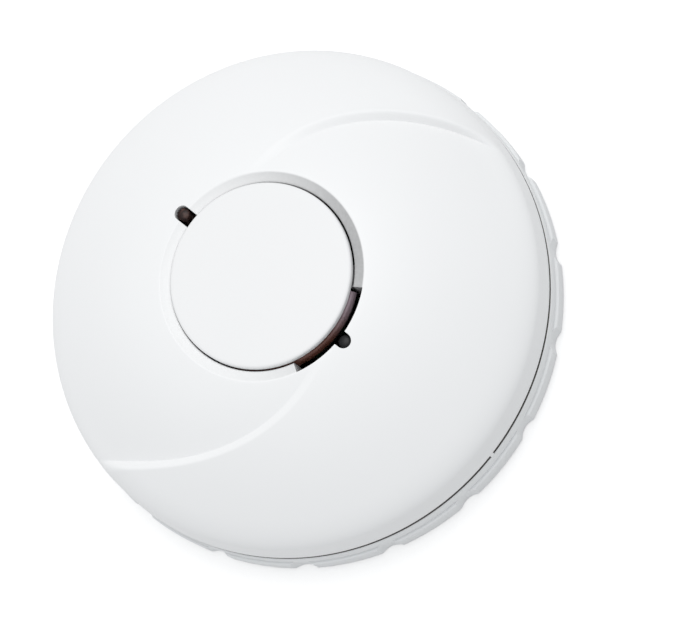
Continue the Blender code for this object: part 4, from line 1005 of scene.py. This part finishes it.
# %% Back housing
LOCK_ANGLES = (60.0, 180.0, 300.0)
LUG_RADIUS = 46.6
BRACKET_HEIGHT = 4.6
BRACKET_RIM_Z = 4.85
HATCH_WIDTH = hatch_high.x - hatch_low.x - 3.0
GROOVE = 0.55


def make_housing():
    radius = HOUSING_RADIUS
    spigot = COVER_RADIUS - WALL - GAP
    lean = 0.75 * (12.0 - SEAM_Z) / (SIDE_TOP_Z - 0.5 - SEAM_Z)
    inner = spigot - lean - 1.6
    rebate = BRACKET_RADIUS - WALL - 1.2
    bottom = BRACKET_HEIGHT + GAP
    band = SEAM_Z - GAP / 2
    bm = bmesh.new()
    turn(bm, [
        (0.0, FLOOR_Z), (rebate, FLOOR_Z), (rebate, bottom), (radius - 0.3, bottom), (radius, bottom + 0.3),
        (radius, band - GROOVE - 0.2), (radius - 0.2, band - GROOVE), (spigot, band - GROOVE),
        (spigot - lean, 12.0), (inner, 12.0),
        (inner, FLOOR_TOP_Z), (0.0, FLOOR_TOP_Z),
    ], steps=240)
    housing = mesh_object("housing_shell", bm)
    extra = bmesh.new()
    lug = [(LUG_RADIUS, 2.4), (50.2, 2.4), (50.2, 3.3), (48.0, 3.3), (48.0, FLOOR_Z + 0.5)]
    lug.append((LUG_RADIUS, FLOOR_Z + 0.5))
    for angle in LOCK_ANGLES:
        turn(extra, lug, angle - 6.0, angle + 6.0, 12)
    for place_radius, angle in BOARD_SCREWS:
        cylinder(extra, polar(place_radius, angle), 2.5, FLOOR_TOP_Z - 0.5, 8.4, 40)
    combine(housing, extra, "UNION")
    holes = bmesh.new()
    opening_low, opening_high = hatch_low.y - GAP, hatch_high.y + GAP
    size = (HATCH_WIDTH + 2 * GAP, opening_high - opening_low)
    block(holes, (0.0, (opening_low + opening_high) / 2), size, FLOOR_Z - 1.0, FLOOR_TOP_Z + 1.0)
    for place_radius, angle in COVER_SCREWS:
        turn(holes, [
            (0.0, FLOOR_Z - 1.0), (2.8, FLOOR_Z - 1.0), (2.8, FLOOR_Z + 1.45), (1.5, FLOOR_Z + 1.45),
            (1.5, FLOOR_TOP_Z + 1.0), (0.0, FLOOR_TOP_Z + 1.0),
        ], steps=40, centre=polar(place_radius, angle))
    for place_radius, angle in BOARD_SCREWS:
        cylinder(holes, polar(place_radius, angle), 1.5, FLOOR_TOP_Z - 0.8, 9.7, 32)
    combine(housing, holes, "DIFFERENCE")
    sockets = bmesh.new()
    hinge = (hatch_high.y - 1.0, FLOOR_Z + 1.0)
    for sign in (-1.0, 1.0):
        ends = sorted((sign * (size[0] / 2 - 1.0), sign * (hatch_high.x + GAP)))
        along_x(sockets, arc(hinge, 1.25, 0.0, 345.0, 23), *ends)
    combine(housing, sockets, "DIFFERENCE")
    key = bmesh.new()
    turn(key, [
        (COVER_RADIUS - WALL / 2 - GAP, SEAM_Z - KEY_DROP - 0.1), (radius + 1.0, SEAM_Z - KEY_DROP - 0.1),
        (radius + 1.0, SEAM_Z + 1.0), (COVER_RADIUS - WALL / 2 - GAP, SEAM_Z + 1.0),
    ], NOTCH_ANGLES[1] - KEY_HALF_ANGLE - 0.08, NOTCH_ANGLES[1] + KEY_HALF_ANGLE + 0.08, 6)
    combine(housing, key, "DIFFERENCE")
    place(housing, "alarm", "back_plastic", back, "back_housing")


make_housing()


# %% [markdown]
# The seam is a gap between two pale walls, so light would bounce about inside it. A thin dark strip lies in
# it as painted shade, so the gap reads dark. It stops beside the tab that lines the cover up with the
# housing.

# %% Seam shade strip
def make_seam_shade_strip():
    spigot = COVER_RADIUS - WALL - GAP
    inner, outer = spigot + 0.02, COVER_RADIUS - 0.05
    low, high = SEAM_Z - GAP / 2 - GROOVE + 0.02, SEAM_Z + GAP / 2 - 0.02
    clear = KEY_HALF_ANGLE + 0.1
    bm = bmesh.new()
    turn(bm, [(inner, low), (outer, low), (outer, high), (inner, high)],
         NOTCH_ANGLES[1] + clear, NOTCH_ANGLES[1] + 360.0 - clear - 0.001, 240)
    strip = mesh_object("seam_shade_strip", bm)
    # The dark strip is painted shade in the seam's gap.
    place(strip, "alarm", "black_plastic", seam_shade)


make_seam_shade_strip()


# %% [markdown]
# ## The mounting bracket
# A flat ring with a low skirt. Shallow scallops round its edge give a grip, two ears carry the fixing
# slots, and three hooks take the housing's lugs.

# %% Mounting bracket
def make_bracket():
    radius = BRACKET_RADIUS
    opening = 46.0
    top = BRACKET_RIM_Z
    bm = bmesh.new()
    turn(bm, [
        (opening, 0.0), (radius - 0.6, 0.0), (radius - 0.18, 0.18), (radius, 0.6), (radius, top - 0.3),
        (radius - 0.3, top), (radius - WALL, top), (radius - WALL, WALL), (opening, WALL),
    ], steps=360)
    bracket = mesh_object("ring_bracket", bm)
    ears = bmesh.new()
    ear_middle = 35.75
    ear_size = (23.5, 15.0)
    for side in (-1.0, 1.0):
        block(ears, (side * ear_middle, 0.0), ear_size, 0.0, WALL)
    combine(bracket, ears, "UNION")
    stop = math.degrees(GAP / LUG_RADIUS)
    for section, first, last in (
        ([(48.4, 3.6), (48.4, 4.7), (52.4, 4.7), (52.4, 1.5), (50.6, 1.5), (50.6, 3.6)], -6.0 - stop, 6.0),
        ([(48.4, 1.5), (48.4, 4.7), (52.4, 4.7), (52.4, 1.5)], -7.6 - stop, -6.0 - stop),
    ):
        hooks = bmesh.new()
        for angle in LOCK_ANGLES:
            turn(hooks, section, angle + first, angle + last, 10)
        combine(bracket, hooks, "UNION")
    cuts = bmesh.new()
    for count in range(18):
        cylinder(cuts, polar(radius + 3.0, -9.0 + 20.0 * count), 4.0, -1.0, top + 1.0, 64)
    slot_middle = 30.0
    slot_half = 2.75
    slot_radius = 2.25
    for side in (-1.0, 1.0):
        outline = arc((side * slot_middle, slot_half), slot_radius, 0.0, 180.0, 20)
        outline += arc((side * slot_middle, -slot_half), slot_radius, 180.0, 360.0, 20)
        upright(cuts, outline, -1.0, WALL + 1.0)
    combine(bracket, cuts, "DIFFERENCE")
    place(bracket, "bracket", "back_plastic", back, "mounting_bracket")


make_bracket()


# %% [markdown]
# ## Battery hatch
# A flat door, rounded about its hinge, with two stub pins and a groove for a fingertip.

# %% Hatch
def make_hatch():
    hinge = (hatch_high.y - 1.0, FLOOR_Z + 1.0)
    half = HATCH_WIDTH / 2
    section = [(hatch_low.y, FLOOR_Z)] + arc(hinge, 1.0, -90.0, 90.0, 16)
    section.append((hatch_low.y, FLOOR_TOP_Z))
    bm = bmesh.new()
    along_x(bm, section, -half, half)
    hatch = mesh_object("hatch_door", bm)
    pins = bmesh.new()
    for sign in (-1.0, 1.0):
        ends = sorted((sign * (half - 1.0), sign * hatch_high.x))
        along_x(pins, arc(hinge, 0.9, 0.0, 345.0, 23), *ends)
    combine(hatch, pins, "UNION")
    groove = bmesh.new()
    along_x(groove, arc((hatch_low.y + 4.2, FLOOR_Z - 0.6), 1.5, 0.0, 350.0, 35), -6.0, 6.0)
    combine(hatch, groove, "DIFFERENCE")
    ease_edges(hatch, 0.15)
    place(hatch, "hatch", "back_plastic", back, "battery_hatch")


make_hatch()


# %% [markdown]
# ## Finishes for the frame's own pieces
# The small inner pieces keep their shape from the frame and get a finish each.

# %% Carried-over pieces
CARRIED = {
    "button_spring": steel, "chamber_base": dark, "infrared_led": lens, "photodiode": grey_lens,
    "circuit_board": board_green, "switch_body": black, "switch_plunger": button_white, "horn_housing": black,
    "piezo_disc": brass, "microcontroller": black, "reservoir_capacitor": cell, "horn_coil_core": black,
    "battery_holder": black, "lithium_cell": cell, "positive_contact": steel,
    "negative_contact": steel, "positive_lead": red_lead, "negative_lead": black_lead,
}
for name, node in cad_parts.items():
    material = CARRIED.get(name, steel)
    node.data.materials[0] = material
print("carried over:", len(CARRIED), "named finishes")


# %% [markdown]
# ## Stage
# A pale floor, one soft key light high above the far side, and a bright surround. The floor keeps the
# shadow, and a glow that only the camera and reflections see lifts it to white.

# %% Floor
def make_floor():
    mesh = bpy.data.meshes.new("floor")
    size = 3.0
    z = -0.0002
    corners = [(-size, -size, z), (size, -size, z), (size, size, z), (-size, size, z)]
    mesh.from_pydata(corners, [], [(0, 1, 2, 3)])
    floor = bpy.data.objects.new("floor", mesh)
    bpy.context.collection.objects.link(floor)
    material = bpy.data.materials.new("pale_floor")
    material.use_nodes = True
    tree = material.node_tree
    shader = tree.nodes["Principled BSDF"]
    shader.inputs["Base Color"].default_value = (0.62, 0.62, 0.62, 1.0)
    shader.inputs["Roughness"].default_value = 0.9
    shader.inputs["Specular IOR Level"].default_value = 0.0
    rays = tree.nodes.new("ShaderNodeLightPath")
    seen = tree.nodes.new("ShaderNodeMath")
    seen.operation = "MAXIMUM"
    tree.links.new(rays.outputs["Is Camera Ray"], seen.inputs[0])
    tree.links.new(rays.outputs["Is Glossy Ray"], seen.inputs[1])
    glow = tree.nodes.new("ShaderNodeMix")
    glow.data_type = "RGBA"
    glow.inputs[6].default_value = (0.0, 0.0, 0.0, 1.0)
    glow.inputs[7].default_value = (0.5, 0.5, 0.5, 1.0)
    tree.links.new(seen.outputs[0], glow.inputs[0])
    tree.links.new(glow.outputs[2], shader.inputs["Emission Color"])
    shader.inputs["Emission Strength"].default_value = 1.0
    mesh.materials.append(material)
    floor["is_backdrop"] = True


make_floor()


# %% [markdown]
# The surround lights the object with a pale cool grey and shows itself to the camera as white.

# %% Light
def make_key_light(location, size, power, target):
    lamp = bpy.data.lights.new("key", "AREA")
    lamp.size = size
    lamp.energy = power
    lamp.color = (1.0, 0.99, 0.975)
    item = bpy.data.objects.new("key", lamp)
    item.location = location
    aim = Vector(target) - Vector(location)
    item.rotation_euler = aim.to_track_quat("-Z", "Y").to_euler()
    bpy.context.collection.objects.link(item)


def make_surround():
    world = bpy.data.worlds.new("surround")
    bpy.context.scene.world = world
    world.use_nodes = True
    tree = world.node_tree
    background = tree.nodes["Background"]
    background.inputs["Strength"].default_value = 1.0
    rays = tree.nodes.new("ShaderNodeLightPath")
    shown = tree.nodes.new("ShaderNodeMix")
    shown.data_type = "RGBA"
    shown.inputs[6].default_value = (0.70, 0.715, 0.73, 1.0)
    shown.inputs[7].default_value = (1.0, 1.0, 1.0, 1.0)
    tree.links.new(rays.outputs["Is Camera Ray"], shown.inputs[0])
    tree.links.new(shown.outputs[2], background.inputs["Color"])


make_key_light((-0.04, 0.43, 1.43), 0.8, 8.1, (0.0, 0.0, 0.02))
make_surround()
bpy.context.scene.view_settings.view_transform = "Standard"
print("lights:", len(bpy.data.lights))


# %% [markdown]
# ## Camera
# A long lens looks down at the face from a little beyond its lower right, and keeps +X to the right. The
# lean is written as a tilt away from straight above and the direction in which it tilts.

# %% Camera
TILT = math.radians(22.13)
LEAN = math.radians(144.08)
DISTANCE = 0.770
SHIFT_RIGHT = -0.01785
SHIFT_UP = 0.0081
along = Vector((math.cos(LEAN), math.sin(LEAN), 0.0))
across = Vector((-math.sin(LEAN), math.cos(LEAN), 0.0))
face = Vector((0.0, 0.0, 1.0))
tilted = math.cos(TILT) * along + math.sin(TILT) * face
towards = math.cos(TILT) * face - math.sin(TILT) * along
right = math.cos(LEAN) * tilted - math.sin(LEAN) * across
up = math.sin(LEAN) * tilted + math.cos(LEAN) * across
lens_data = bpy.data.cameras.new("camera")
lens_data.sensor_width = 36.0
lens_data.lens = 194.1
lens_data.clip_start = 0.01
camera = bpy.data.objects.new("camera", lens_data)
bpy.context.collection.objects.link(camera)
target = Vector((0.0, 0.0, BUTTON_TOP_Z * MM))
position = target - SHIFT_RIGHT * right - SHIFT_UP * up + DISTANCE * towards
camera.matrix_world = Matrix((
    (right.x, up.x, towards.x, position.x),
    (right.y, up.y, towards.y, position.y),
    (right.z, up.z, towards.z, position.z),
    (0.0, 0.0, 0.0, 1.0),
))
bpy.context.scene.camera = camera
print("camera at", [round(value, 3) for value in position])


# %% Finish
def plain(box):
    return [[float(value) for value in corner] for corner in box]


{"cad": plain(cad_box), "visual": plain(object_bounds())}
